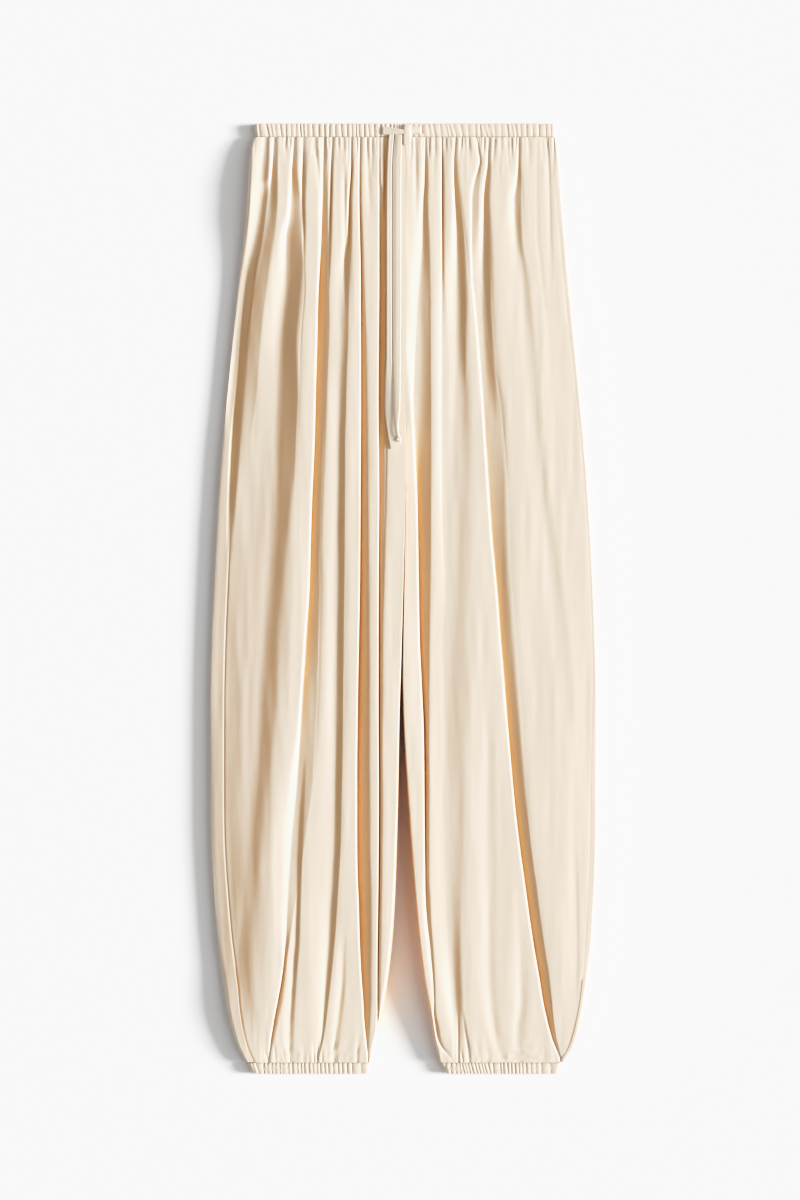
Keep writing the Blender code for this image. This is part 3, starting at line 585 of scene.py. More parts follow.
RIGHT_CREASES = (
    Crease(
        "hip_line",
        foot=((14, 143.4), (115, 143.4), (160, 148), (230, 155)), floor=2.2,
        depth=((14, 1), (60, 1), (115, 0.8), (180, 0.5), (240, 0)), left=3, right=3,
    ),
    Crease(
        "hip_dimple",
        foot=((14, 152), (29, 155.3), (61, 156.3), (100, 157), (160, 158.5)), floor=2.3,
        depth=((14, 2), (61, 1.4), (100, 0.9), (150, 0.4), (185, 0)), left=2.0, right=1.8, left_power=1.5,
        right_power=1.5,
    ),
    Crease(
        "short_fold",
        foot=(
            (20, 124), (45, 123.8), (66, 121), (83, 118.5), (126, 120.4), (169, 125), (191, 126.8),
            (234, 131.5), (299, 136), (342, 139), (386, 143.5), (451, 152), (516, 160.7), (602, 169),
            (680, 175),
        ),
        floor=(
            (20, 1.8), (45, 2.2), (66, 6.5), (83, 9.5), (126, 8.6), (169, 12), (299, 13), (386, 13),
            (516, 16),
        ),
        depth=(
            (14, 5), (66, 4.4), (100, 3.6), (126, 2.4), (169, 1.2), (234, 0.9), (299, 0.8), (386, 0.7),
            (516, 0.6), (620, 0.4), (690, 0),
        ),
        left=((14, 1.1), (66, 2.6), (126, 6), (234, 12), (516, 12)),
        right=((14, 0.8), (83, 1.0), (126, 3), (169, 6), (516, 9)),
        step=((66, 0), (126, 0.6), (169, 0.8), (386, 0.8), (516, 0.5), (690, 0)),
        toe=((50, 0.2), (100, 0.5)), brow=((50, 0.1), (126, 0.45)), left_power=1.5, right_power=1.4,
        guide=True,
    ),
    Crease(
        "swept_shadow",
        foot=(
            (20, 91.4), (45, 90.3), (66, 87.1), (83, 86), (126, 85.4), (169, 84.6), (191, 84.6), (223, 86),
            (260, 88), (310, 91),
        ),
        floor=((20, 2.2), (45, 3), (66, 5.6), (83, 5.6), (126, 7.6), (169, 9.4), (260, 11)),
        depth=((14, 5), (83, 5.2), (126, 5), (169, 4.2), (212, 3.2), (256, 2), (300, 1), (325, 0)),
        left=((14, 1.3), (83, 1.8), (126, 4), (169, 9)), right=((14, 1.0), (191, 1.3), (256, 3)),
        step=((90, 0), (169, 1), (256, 0.8), (325, 0)), shoulder=((80, 0), (140, 7), (260, 8), (320, 0)),
        toe=((60, 0.1), (126, 0.3), (191, 0.5)), brow=((100, 0.1), (191, 0.25)), left_power=1.4,
    ),
    Crease(
        "swept_pleat",
        foot=(
            (14, 77.5), (29, 80.4), (40, 81.6), (50, 79.8), (61, 76), (83, 72.7), (126, 72.5), (169, 73.6),
            (191, 75.7), (234, 79.6), (277, 82.8), (299, 84.4), (342, 87.1), (407, 91.4), (451, 94.4),
            (494, 98.8), (559, 103.9), (624, 109.3), (667, 113.1), (732, 119), (775, 123.9), (818, 129.8),
            (883, 139), (927, 146.6), (948, 149.9), (970, 154.7), (992, 160.7), (1002, 164.8),
            (1012, 168.8),
        ),
        floor=(
            (14, 1.5), (50, 3), (61, 6.5), (83, 8), (126, 9), (191, 10.3), (234, 11), (277, 17), (299, 19),
            (386, 21), (407, 20.5), (451, 19), (494, 17), (537, 17), (602, 16.5), (667, 15), (732, 14),
            (818, 13), (883, 12), (927, 11), (948, 10), (970, 7), (992, 4.5), (1012, 1.5),
        ),
        depth=(
            (14, 3), (61, 3), (126, 2.4), (191, 2), (234, 2.6), (277, 3.6), (342, 4.8), (407, 5.4),
            (516, 5.8), (624, 6.8), (775, 8), (883, 9), (927, 9.5), (992, 9.5), (1014, 4),
        ),
        left=((14, 2.4), (70, 1.3), (169, 0.9), (300, 0.7), (1014, 0.7)),
        right=((14, 3), (126, 4), (299, 4), (407, 3), (559, 2.4), (667, 1.6), (883, 1.3), (1011, 1.0)),
        shoulder=((260, 0), (320, 8), (900, 8), (960, 0)), toe=((0, 0.3), (250, 0.08)),
        brow=((0, 0.1), (300, 0.15), (537, 0.4), (688, 0.3), (860, 0.15)),
        lift=((0, 0.85), (300, 0.85), (400, 1)), left_power=1.4, guide=True,
    ),
    Crease(
        "calf_fold",
        foot=(
            (600, 90), (667, 89.3), (775, 89.3), (840, 90.3), (905, 90.3), (948, 92.5), (970, 94.7),
            (992, 99), (1008, 104.4),
        ),
        floor=((600, 10), (775, 14), (840, 15), (905, 14), (948, 11), (970, 8), (992, 5), (1008, 1.5)),
        depth=((560, 0), (700, 1.2), (775, 1.6), (862, 2), (905, 2.2), (948, 2.6), (992, 3), (1015, 3)),
        left=((600, 9), (775, 9), (905, 7), (948, 5), (1008, 2)),
        right=((600, 9), (905, 8), (948, 6), (1008, 2)), toe=0.4, brow=0.4, lift=0.7, left_power=1.5,
        right_power=1.4,
    ),
    Crease(
        "soft_fold",
        foot=(
            (18, 56), (40, 54), (61, 54), (83, 54.8), (126, 56.6), (191, 57), (234, 55.5), (299, 54.6),
            (407, 47), (537, 43.8), (688, 42), (797, 44), (862, 46), (927, 49), (948, 51), (980, 54),
        ),
        floor=(
            (18, 1.6), (61, 4), (83, 5.9), (126, 9), (191, 14.6), (299, 21.6), (407, 32), (537, 34),
            (688, 32), (797, 28), (862, 22), (927, 17), (980, 10),
        ),
        depth=(
            (14, 4), (61, 5), (83, 5.8), (126, 5.6), (191, 4.4), (299, 2.6), (407, 2.2), (688, 2.1),
            (797, 2.4), (862, 3), (940, 3.4), (970, 2), (1000, 0),
        ),
        left=((14, 1.2), (83, 1.5), (126, 4), (191, 12), (299, 16), (862, 12), (948, 5)),
        right=((14, 1.0), (126, 1.6), (191, 4), (299, 8), (862, 8), (948, 5)),
        step=((100, 0), (191, 1.2), (299, 1.6), (537, 2), (797, 2), (862, 1.6), (950, 0.5), (990, 0)),
        toe=((18, 0.15), (60, 0.3), (83, 0.5), (126, 0.6), (191, 0.6), (299, 0.5), (407, 0.4)),
        brow=((18, 0.1), (83, 0.15), (126, 0.3), (191, 0.5), (299, 0.5), (407, 0.4)), left_power=1.4,
        right_power=1.3, guide=True,
    ),
    Crease(
        "cuff_fold_inner",
        foot=((960, 57.5), (992, 58.6), (1013, 58.7)), floor=((940, 2), (1013, 1)),
        depth=((960, 0), (985, 2), (1000, 4), (1015, 4.5)), left=((940, 2.4), (1013, 1.3)),
        right=((940, 2.4), (1013, 1.3)),
    ),
    Crease(
        "knee_hollow",
        foot=((880, 53), (948, 56), (1000, 60)), floor=((880, 9), (1000, 8)),
        depth=((860, 0), (905, 1.2), (948, 2.2), (985, 2.4), (1015, 0)), left=((880, 8), (1000, 6)),
        right=((880, 8), (1000, 6)), toe=0.4, brow=0.4, left_power=1.5, right_power=1.5,
    ),
    Crease(
        "cuff_fold_outer",
        foot=((950, 61.8), (965, 63.2), (981, 65.8), (1002, 69.2), (1013, 70.8)),
        floor=((950, 2.2), (1013, 1.2)), depth=((960, 0), (985, 2.5), (1000, 4.5), (1015, 4.5)),
        left=((950, 3), (1013, 1.8)), right=((950, 2), (1013, 1.0)),
    ),
    Crease(
        "cuff_hollow",
        foot=((880, 124.5), (948, 125), (981, 121.7), (1005, 122.5)),
        floor=((880, 8), (948, 9), (981, 8), (1005, 4)),
        depth=((860, 0), (905, 1.2), (948, 2.4), (992, 3.4), (1015, 2)), left=((880, 4), (1005, 2.5)),
        right=((880, 4), (1005, 2.5)), left_power=1.5, right_power=1.5,
    ),
    Crease(
        "outer_hollow",
        foot=((780, 184), (905, 186), (960, 184)), floor=4,
        depth=((780, 0), (840, 0.8), (905, 0.8), (960, 0)), left=7, right=5,
    ),
    Crease(
        "inner_tuck",
        foot=((20, 40.6), (61, 41.2), (126, 41.2), (191, 39.8), (342, 39.5), (520, 43)),
        floor=((20, 1.4), (83, 1.2), (126, 1.6), (169, 4), (191, 6), (234, 9), (299, 11), (386, 12)),
        depth=(
            (14, 8), (83, 7), (126, 4), (169, 2), (191, 1.6), (234, 1.4), (299, 1.3), (342, 1.1),
            (400, 0.8), (480, 0.4), (520, 0),
        ),
        left=((14, 0.9), (169, 1.0), (342, 1.6)), right=((14, 1.6), (126, 2), (169, 3), (299, 5)),
        toe=((100, 0.15), (191, 0.3)), brow=((100, 0.1), (191, 0.4)), guide=True,
    ),
    Crease(
        "deep_fold",
        foot=(
            (20, 22.7), (61, 22.4), (83, 21.1), (126, 19.6), (169, 16.5), (191, 14.6), (234, 12.5),
            (277, 10), (299, 9), (342, 10.6), (386, 13.2), (407, 14.1), (494, 15.7), (559, 16.8),
            (602, 18.8), (667, 21.6), (775, 22.4), (818, 23), (840, 23.6), (862, 24.9), (883, 27),
            (905, 29.2), (927, 31.4), (970, 33),
        ),
        floor=(
            (20, 2.2), (83, 3.8), (126, 6.4), (169, 10), (191, 12.3), (234, 14.4), (277, 17), (299, 18.2),
            (342, 16.6), (386, 14), (407, 13), (451, 12), (494, 10.8), (559, 8.8), (624, 5.2), (667, 3.3),
            (732, 3.2), (818, 2.7), (840, 3.7), (883, 3.3), (927, 1.6), (970, 1),
        ),
        depth=(
            (14, 4), (83, 5), (126, 5), (169, 4.6), (191, 4.8), (256, 5), (299, 5.6), (342, 6.4), (386, 8),
            (407, 8.6), (494, 9.4), (560, 9.4), (700, 8), (818, 5.4), (862, 3.6), (905, 2.4), (948, 1.6),
            (985, 0),
        ),
        left=(
            (14, 1.4), (83, 3), (126, 6), (191, 10), (234, 8), (277, 2.5), (320, 0.7), (800, 0.7),
            (862, 2.2), (948, 2),
        ),
        right=0.9, shoulder=((90, 0), (191, 9), (640, 9), (720, 5), (840, 0)),
        toe=(
            (60, 0.1), (83, 0.3), (126, 0.45), (191, 0.6), (299, 0.9), (342, 0.7), (386, 0.25), (407, 0.1),
        ),
        brow=0.03, left_power=1.4, guide=True,
    ),
    Crease(
        "cuff_corner",
        foot=((959, 32.2), (970, 33), (981, 34.4), (992, 36.8), (998, 39.5), (1005, 45), (1012, 51.4)),
        floor=((959, 1), (981, 3.4), (992, 3.2), (1005, 1.4)),
        depth=((950, 0), (972, 4.5), (992, 6), (1005, 4), (1015, 2)), left=1.2, right=1.6,
    ),
)

# Short pleats at the waistband that can be told apart: place, length, depth, half width and drift.
LEFT_WAIST_GATHERS = tuple(Gather(*row) for row in (
    (-128.4, 16, 2.4, 1.3, -2), (-123.9, 14, 2.8, 1.1, 0), (-99.2, 22, 2.0, 1.3, 2),
    (-96, 62, 2.2, 2.0, 5), (-82.2, 16, 2.2, 1.1, 0), (-85.6, 26, 2.4, 1.5, 0),
    (-71.5, 24, 1.8, 1.4, 1), (-66, 18, 1.6, 1.1, -1), (-51.6, 20, 1.6, 1.1, 0),
    (-40.6, 90, 1.9, 2.6, 4), (-34.5, 46, 1.7, 1.8, -2), (-13.4, 24, 2.4, 1.2, 0),
    (-8.4, 40, 2.0, 1.4, 0), (-104.6, 18, 1.6, 1.0, 0),
))
RIGHT_WAIST_GATHERS = tuple(Gather(*row) for row in (
    (7.2, 26, 2.0, 1.2, 0), (12.4, 100, 2.0, 2.6, 0), (19.6, 24, 2.2, 1.1, 0),
    (27.4, 24, 1.2, 1.1, -1), (33.6, 24, 1.4, 1.3, 0), (44.6, 18, 2.2, 1.1, 0),
    (48.9, 18, 2.0, 1.1, 2), (62.2, 16, 2.8, 1.1, -1), (69.6, 16, 1.5, 1.2, 0),
    (86.6, 20, 2.2, 1.2, -1), (98.2, 30, 2.4, 1.4, -3), (104.4, 18, 1.3, 1.2, 0),
    (111.6, 44, 0.9, 1.6, 2), (116, 26, 2.0, 1.3, 0), (121, 20, 1.8, 1.2, -2),
    (133.4, 34, 0.9, 1.8, 1), (148.6, 30, 0.9, 1.6, 2), (161, 40, 0.7, 1.8, 2),
))


@dataclass(frozen=True)
class LegSizes:
    """The sizes of one leg at one distance down."""

    loft: float
    rim: float
    inner_radius: float
    outer_edge: float
    seam: float
    inner_edge: float
    inset: float
    split: float
    outer_radius: float

    @property
    def under_radius(self) -> float:
        """Width of the lower roll."""
        return UNDER_ROLL * self.loft


class Ripple:
    """Smooth noise over a panel, the same each run.

    Args:
        seed: The seed of its lattice.
        across: Size of a cell across.
        down: Size of a cell down.
    """

    CELLS = 96

    def __init__(self, seed: int, across: float, down: float) -> None:
        """Makes the lattice."""
        self.lattice = np.random.default_rng(seed).uniform(-1, 1, (self.CELLS, self.CELLS))
        self.across = across
        self.down = down

    def at(self, x: np.ndarray, down: float) -> np.ndarray:
        """The noise at some places, from -1 to 1.

        Args:
            x: Places across.
            down: Distance down.

        Returns:
            The noise at each place.
        """
        column = np.asarray(x) / self.across + self.CELLS / 2
        row = down / self.down
        i = np.floor(column).astype(int)
        j = int(math.floor(row))
        a = ramp(column - i)
        b = float(ramp(row - j))
        near = self.lattice[j % self.CELLS]
        far = self.lattice[(j + 1) % self.CELLS]
        first = near[i % self.CELLS] * (1 - a) + near[(i + 1) % self.CELLS] * a
        second = far[i % self.CELLS] * (1 - a) + far[(i + 1) % self.CELLS] * a
        return first * (1 - b) + second * b


def roll_angle(inset: float) -> float:
    """Where a point lies on a roll: an angle as far as the top, and a length past it."""
    return math.acos(1 - inset) if inset < 1 else math.pi / 2 + inset - 1


def roll_distance(angles: np.ndarray) -> np.ndarray:
    """The share of the roll's width at these places."""
    curved = 1 - np.cos(np.minimum(angles, math.pi / 2))
    return np.where(angles < math.pi / 2, curved, 1 + angles - math.pi / 2)


def spaced(marks: np.ndarray, least: float) -> np.ndarray:
    """Rising marks between fixed ends, none nearer to the next than the least spacing.

    Args:
        marks: The marks, with the ends.
        least: The least spacing.

    Returns:
        The marks, moved where they were too near.
    """
    marks = marks.copy()
    for i in range(1, len(marks) - 1):
        marks[i] = max(marks[i], marks[i - 1] + least)
    for i in range(len(marks) - 2, 0, -1):
        marks[i] = min(marks[i], marks[i + 1] - least)
    return marks


def graded(count: int) -> np.ndarray:
    """Places from 0 up to but not at 1, closer together at both ends."""
    t = np.arange(count) / count
    return t - 0.62 * np.sin(2 * math.pi * t) / (2 * math.pi)


@dataclass
class ClothMesh:
    """Points, faces, painted light shares and surface data of one piece before it becomes an object."""

    points: np.ndarray
    faces: list[tuple[int, ...]]
    painted_light_share: np.ndarray
    surface: np.ndarray

    def to_object(self, name: str, material: bpy.types.Material) -> bpy.types.Object:
        """Makes the object.

        Args:
            name: The piece's name.
            material: Its material.

        Returns:
            The new object, at the origin.
        """
        mesh = bpy.data.meshes.new(name)
        mesh.from_pydata(self.points.tolist(), [], self.faces)
        mesh.update()
        if enclosed_volume(mesh) < 0:
            mesh.flip_normals()
        # The share of light, kept on the mesh so that the material paints shade into the colour.
        light_to_paint = mesh.attributes.new("open", "FLOAT", "POINT")
        light_to_paint.data.foreach_set("value", self.painted_light_share.astype(np.float32))
        corners = np.empty(len(mesh.loops), dtype=np.int32)
        mesh.loops.foreach_get("vertex_index", corners)
        layer = mesh.uv_layers.new(name="cloth")
        layer.data.foreach_set("uv", (self.surface[corners] * MM).astype(np.float32).ravel())
        mesh.shade_smooth()
        mesh.set_sharp_from_angle(angle=math.radians(FLAT_ANGLE))
        mesh.materials.append(material)
        return link_object(name, mesh)


def link_object(name: str, data: bpy.types.ID) -> bpy.types.Object:
    """A new object in the scene, at the origin."""
    made = bpy.data.objects.new(name, data)
    bpy.context.scene.collection.objects.link(made)
    return made


def enclosed_volume(mesh: bpy.types.Mesh) -> float:
    """Volume inside a closed mesh, negative if its faces point inwards."""
    mesh.calc_loop_triangles()
    points = np.empty(len(mesh.vertices) * 3)
    mesh.vertices.foreach_get("co", points)
    corners = np.empty(len(mesh.loop_triangles) * 3, dtype=np.int32)
    mesh.loop_triangles.foreach_get("vertices", corners)
    return float(np.linalg.det(points.reshape(-1, 3)[corners.reshape(-1, 3)]).sum()) / 6


def in_space(x: np.ndarray, down: np.ndarray, z: np.ndarray) -> np.ndarray:
    """Places across, down and up in millimetres, as points in metres."""
    return np.stack([x * MM, TOP_Y - down * MM, z * MM], axis=-1)


def grid_normals(points: np.ndarray, turn: int) -> np.ndarray:
    """Normals of a grid of points.

    Args:
        points: Rows by columns by three.
        turn: 1 or -1, the way that is outside.

    Returns:
        A unit normal for each point.
    """
    across = np.gradient(points, axis=1)
    down = np.gradient(points, axis=0)
    normal = np.cross(across, down) * turn
    length = np.linalg.norm(normal, axis=-1, keepdims=True)
    return normal / np.maximum(length, 1e-12)


def thin_shell(outer: np.ndarray, turn: int, wall: float, painted_light_share: np.ndarray) -> ClothMesh:
    """Closes a grid of points into a thin wall whose hidden side has half the rows and columns.

    Args:
        outer: Rows by columns by three, both counts odd, in metres.
        turn: 1 or -1, the way that is outside.
        wall: Thickness in millimetres.
        painted_light_share: The share of light painted on each outer point as shade, from 0 to 1.

    Returns:
        The closed mesh.
    """
    rows, columns = outer.shape[:2]
    normals = grid_normals(outer, turn)
    padded = np.pad(outer, ((1, 1), (1, 1), (0, 0)), mode="edge")
    sunk = np.zeros((rows, columns))
    for i in range(3):
        for j in range(3):
            near = padded[i:i + rows, j:j + columns]
            sunk = np.maximum(sunk, ((outer - near) * normals).sum(axis=-1))
    offset = wall * MM + np.minimum(sunk, GROOVE_LIMIT * MM)
    inner = (outer - normals * offset[..., None])[::2, ::2]
    inner_rows, inner_columns = inner.shape[:2]
    base = rows * columns
    outer_index = np.arange(base).reshape(rows, columns)
    inner_index = base + np.arange(inner_rows * inner_columns).reshape(inner_rows, inner_columns)
    faces = grid_faces(outer_index) + [face[::-1] for face in grid_faces(inner_index)]
    edges = (
        (outer_index[0], inner_index[0], True),
        (outer_index[-1], inner_index[-1], False),
        (outer_index[:, 0], inner_index[:, 0], False),
        (outer_index[:, -1], inner_index[:, -1], True),
    )
    for near, far, flipped in edges:
        faces += rim_faces(near, far, flipped)
    steps = np.linalg.norm(np.diff(outer, axis=1), axis=-1) / MM
    across = np.concatenate([np.zeros((rows, 1)), np.cumsum(steps, axis=1)], axis=1)
    across -= across[:, columns // 2: columns // 2 + 1]
    surface = np.stack([across, (TOP_Y - outer[..., 1]) / MM], axis=-1)
    return ClothMesh(
        points=np.concatenate([outer.reshape(-1, 3), inner.reshape(-1, 3)]),
        faces=faces,
        painted_light_share=np.concatenate([painted_light_share.ravel(), painted_light_share[::2, ::2].ravel() * HIDDEN_SHARE]),
        surface=np.concatenate([surface.reshape(-1, 2), surface[::2, ::2].reshape(-1, 2)]),
    )


def grid_faces(index: np.ndarray) -> list[tuple[int, ...]]:
    """Quads between the points of a grid of vertex numbers."""
    corners = (index[:-1, :-1], index[:-1, 1:], index[1:, 1:], index[1:, :-1])
    return [tuple(face) for face in np.stack(corners, axis=-1).reshape(-1, 4).tolist()]


def rim_faces(near: np.ndarray, far: np.ndarray, flipped: bool) -> list[tuple[int, ...]]:
    """Triangles between an edge and one of half its points.

    Args:
        near: Vertex numbers of the full edge.
        far: Those of the other edge.
        flipped: True to turn the faces over.

    Returns:
        The faces.
    """
    faces = []
    for k in range(len(far) - 1):
        a, b, c = (int(v) for v in near[2 * k: 2 * k + 3])
        p, q = int(far[k]), int(far[k + 1])
        faces += [(a, b, p), (b, q, p), (b, c, q)]
    return [face[::-1] for face in faces] if flipped else faces


def tube_faces(index: np.ndarray) -> list[tuple[int, ...]]:
    """Quads round a closed tube and polygons on its ends, for sections by points of vertex numbers."""
    wrapped = np.concatenate([index, index[:, :1]], axis=1)
    faces = grid_faces(wrapped)
    faces.append(tuple(index[0].tolist())[::-1])
    faces.append(tuple(index[-1].tolist()))
    return faces


def front_downs() -> np.ndarray:
    """Distances down of a panel's rows, closer together near the casings."""
    waist_end, cuff_start = 110, 905
    waist = BAND + CASING_GAP + (waist_end - BAND) * np.linspace(0, 1, 57)[:-1] ** 1.35
    middle = np.linspace(waist_end, cuff_start, 125)[:-1]
    cuff = LENGTH - CUFF - CASING_GAP - (LENGTH - CUFF - cuff_start) * np.linspace(1, 0, 66) ** 1.3
    return np.concatenate([waist, middle, cuff])


@dataclass
class Leg:
    """One leg's front and back panels, from the waistband to the cuff."""

    side: Side
    creases: tuple[Crease, ...]
    waist_gathers: tuple[Gather, ...]
    cuff_pleats: tuple[tuple[float, float, float], ...]
    seed: int
    front_columns: int = 300
    back_columns: int = 116
    small_gathers: int = 26
    rim_share: Curve = RIM_SHARE
    outer_roll: float = OUTER_ROLL
    # Share of light painted on the side's rolls, which sets the painted shade there.
    side_open: float = 1.0
    inner_fold: float = 0.8
    seam_gap: float = SEAM_HALF_GAP
    seam_depth: Curve = ((0, 0.1), (420, 0.1), (490, 0.55))
    seam_width: float = 0.9
    small_depth: tuple[float, float] = (0.6, 1.4)
    small_reach: tuple[float, float] = (3.0, 160.0)
    small_shift: float = 2.4
    small_length: tuple[float, float] = (10, 34)
    small_width: tuple[float, float] = (0.8, 1.5)
    small_drift: float = 1.5
    cuff_width: tuple[float, float] = (1.0, 1.6)
    cuff_lean: float = 0.06
    # Left edge of the tie's hanging end, beside which its shadow is painted.
    tie_edge: Points = ()
    gathers_below: tuple[Gather, ...] = field(init=False)
    gathers_above: tuple[Gather, ...] = field(init=False)

    def __post_init__(self) -> None:
        """Draws the small pleats and the ripples of this leg."""
        draw = np.random.default_rng(self.seed)
        first, last = sorted(self.side.value * reach for reach in self.small_reach)
        self.gathers_below = self.waist_gathers + tuple(
            Gather(
                float(x + draw.uniform(-self.small_shift, self.small_shift)),
                float(draw.uniform(*self.small_length)),
                float(draw.uniform(*self.small_depth)),
                float(draw.uniform(*self.small_width)),
                float(draw.uniform(-self.small_drift, self.small_drift)),
            )
            for x in np.linspace(first, last, self.small_gathers)
        )
        middle = sum(x for x, _, _ in self.cuff_pleats) / len(self.cuff_pleats)
        self.gathers_above = tuple(
            Gather(x, length, depth, float(draw.uniform(*self.cuff_width)), (x - middle) * self.cuff_lean)
            for x, length, depth in self.cuff_pleats
        )
        self.swell = Ripple(self.seed + 1, *SWELL_CELL)
        self.ripple = Ripple(self.seed + 2, *RIPPLE_CELL)
        self.crinkle = Ripple(self.seed + 3, *CRINKLE_CELL)

    @property
    def inward(self) -> int:
        """The way along X from the side seam to the inseam."""
        return -self.side.value

    def sizes(self, down: float) -> LegSizes:
        """The leg's sizes at one distance down.

        Args:
            down: Distance down.

        Returns:
            The sizes there.
        """

        def size(column: str) -> float:
            """One column of the sections at this distance."""
            return read(section_points(column), down)

        word = self.side.word
        split = float(ramp((down - RISE + CROTCH_BLEND) / CROTCH_BLEND))
        parted = float(ramp((down - RISE) / PARTING))
        half_gap = size("half_gap") * parted + SEAM_HALF_GAP * (1 - parted)
        outer_edge = size(f"{word}_edge")
        loft = size("loft")
        return LegSizes(
            loft=loft,
            rim=read(self.rim_share, down) * loft,
            inner_radius=min(read(INNER_FOLD, down), INNER_ROLL * loft) * self.inner_fold,
            outer_edge=outer_edge,
            seam=outer_edge + self.inward * size(f"{word}_seam"),
            inner_edge=size("middle") + self.side.value * half_gap,
            inset=size(f"{word}_inseam") if down > RISE else 0.0,
            split=split,
            outer_radius=self.outer_roll * loft,
        )

    @staticmethod
    def gap(sizes: LegSizes, down: float) -> float:
        """Width of the gap between the legs."""
        return 2 * abs(sizes.inner_edge - read(section_points("middle"), down))

    def height(self, x: np.ndarray, down: float, sizes: LegSizes) -> np.ndarray:
        """Height of the top layer.

        Args:
            x: Places across.
            down: Distance down.
            sizes: The leg's sizes there.

        Returns:
            The height of the outer surface at each place.
        """
        from_outer = np.clip((x - sizes.outer_edge) * self.inward / sizes.outer_radius, 0, 1)
        from_inner = np.clip((sizes.inner_edge - x) * self.inward / sizes.inner_radius, 0, 1)
        outer_roll = np.sqrt(1 - (1 - from_outer) ** 2)
        inner_roll = np.sqrt(1 - (1 - from_inner) ** 2)
        roll = outer_roll * (1 - sizes.split * (1 - inner_roll))
        drop = np.zeros_like(roll)
        for crease in self.creases:
            drop = drop + crease.drop(x, down)
        full = sizes.loft / FULL_LOFT
        drop = drop * sizes.loft / FULL_LOFT
        for gather in self.gathers_below:
            drop = drop + gather.drop(x, down - BAND)
        for gather in self.gathers_above:
            drop = drop + gather.drop(x, LENGTH - CUFF - down)
        drop = drop + full * (SWELL_DEPTH * self.swell.at(x, down) + RIPPLE_DEPTH * self.ripple.at(x, down))
        drop = drop + self.crinkle_share(down) * self.crinkle.at(x, down)
        seam = read(self.seam_depth, down) * np.exp(-((x - sizes.seam) / self.seam_width) ** 2)
        level = sizes.rim + (sizes.loft - drop * RELIEF - seam - sizes.rim) * roll
        start, width = EDGE_REACH
        inside = EDGE_SPAN[0] < down < EDGE_SPAN[1]
        inland = ramp((np.abs(x - sizes.outer_edge) - start) / width) if inside else 1.0
        lowest = np.minimum(LOWEST_EDGE + (LOWEST_VALLEY - LOWEST_EDGE) * inland, sizes.rim)
        return lowest + np.logaddexp(0, (level - lowest) / VALLEY_SOFTNESS) * VALLEY_SOFTNESS

    def crinkle_share(self, down: float) -> float:
        """Depth of the finest crinkles, which lie near the casings."""
        even, near = CRINKLE_DEPTH
        below = (down - BAND) / CRINKLE_REACH[0]
        above = (LENGTH - CUFF - down) / CRINKLE_REACH[1]
        return even + near * math.exp(-below * below) + near * math.exp(-above * above)

    def front_places(self, sizes: LegSizes, down: float, counts: list[int]) -> np.ndarray:
        """X of the front panel's columns at one distance down, which run along the main creases.

        Args:
            sizes: The leg's sizes there.
            down: Distance down.
            counts: Columns between one main crease and the next.

        Returns:
            Places from the side seam to the inseam.
        """
        span = max(sizes.inset + 2.0, sizes.inner_radius)
        start = sizes.inner_edge - self.inward * span
        marks = self.guide_marks(down)
        away = (np.array([sizes.seam, *marks, start]) - sizes.seam) * self.inward
        away = spaced(away, 0.7)
        places = [away[i] + (away[i + 1] - away[i]) * graded(count) for i, count in enumerate(counts[:-1])]
        arc_start = roll_angle(span / sizes.inner_radius)
        arc_end = roll_angle(sizes.inset / sizes.inner_radius)
        angles = np.linspace(arc_start, arc_end, counts[-1])
        arc = sizes.inner_edge - self.inward * sizes.inner_radius * roll_distance(angles)
        return np.concatenate([sizes.seam + self.inward * np.concatenate(places), arc])

    def guide_marks(self, down: float) -> list[float]:
        """Ends of the main creases' floors, from the side seam inwards."""
        marks = [mark for crease in self.creases if crease.guide for mark in crease.marks(down)]
        return sorted(marks, key=lambda mark: mark * self.inward)

    def column_counts(self) -> list[int]:
        """How many columns each stretch between the main creases has, and the roll at the inseam."""
        widths = []
        for down in np.linspace(100, 950, 12).tolist():
            sizes = self.sizes(down)
            start = sizes.inner_edge - self.inward * sizes.inner_radius
            widths.append(np.abs(np.diff([sizes.seam, *self.guide_marks(down), start])))
        mean = np.mean(widths, axis=0) + 2.5
        roll = 19
        left = self.front_columns - roll
        counts = np.maximum(4, np.round(mean / mean.sum() * left)).astype(int)
        counts[int(np.argmax(counts))] += left - int(counts.sum())
        return [*counts.tolist(), roll]

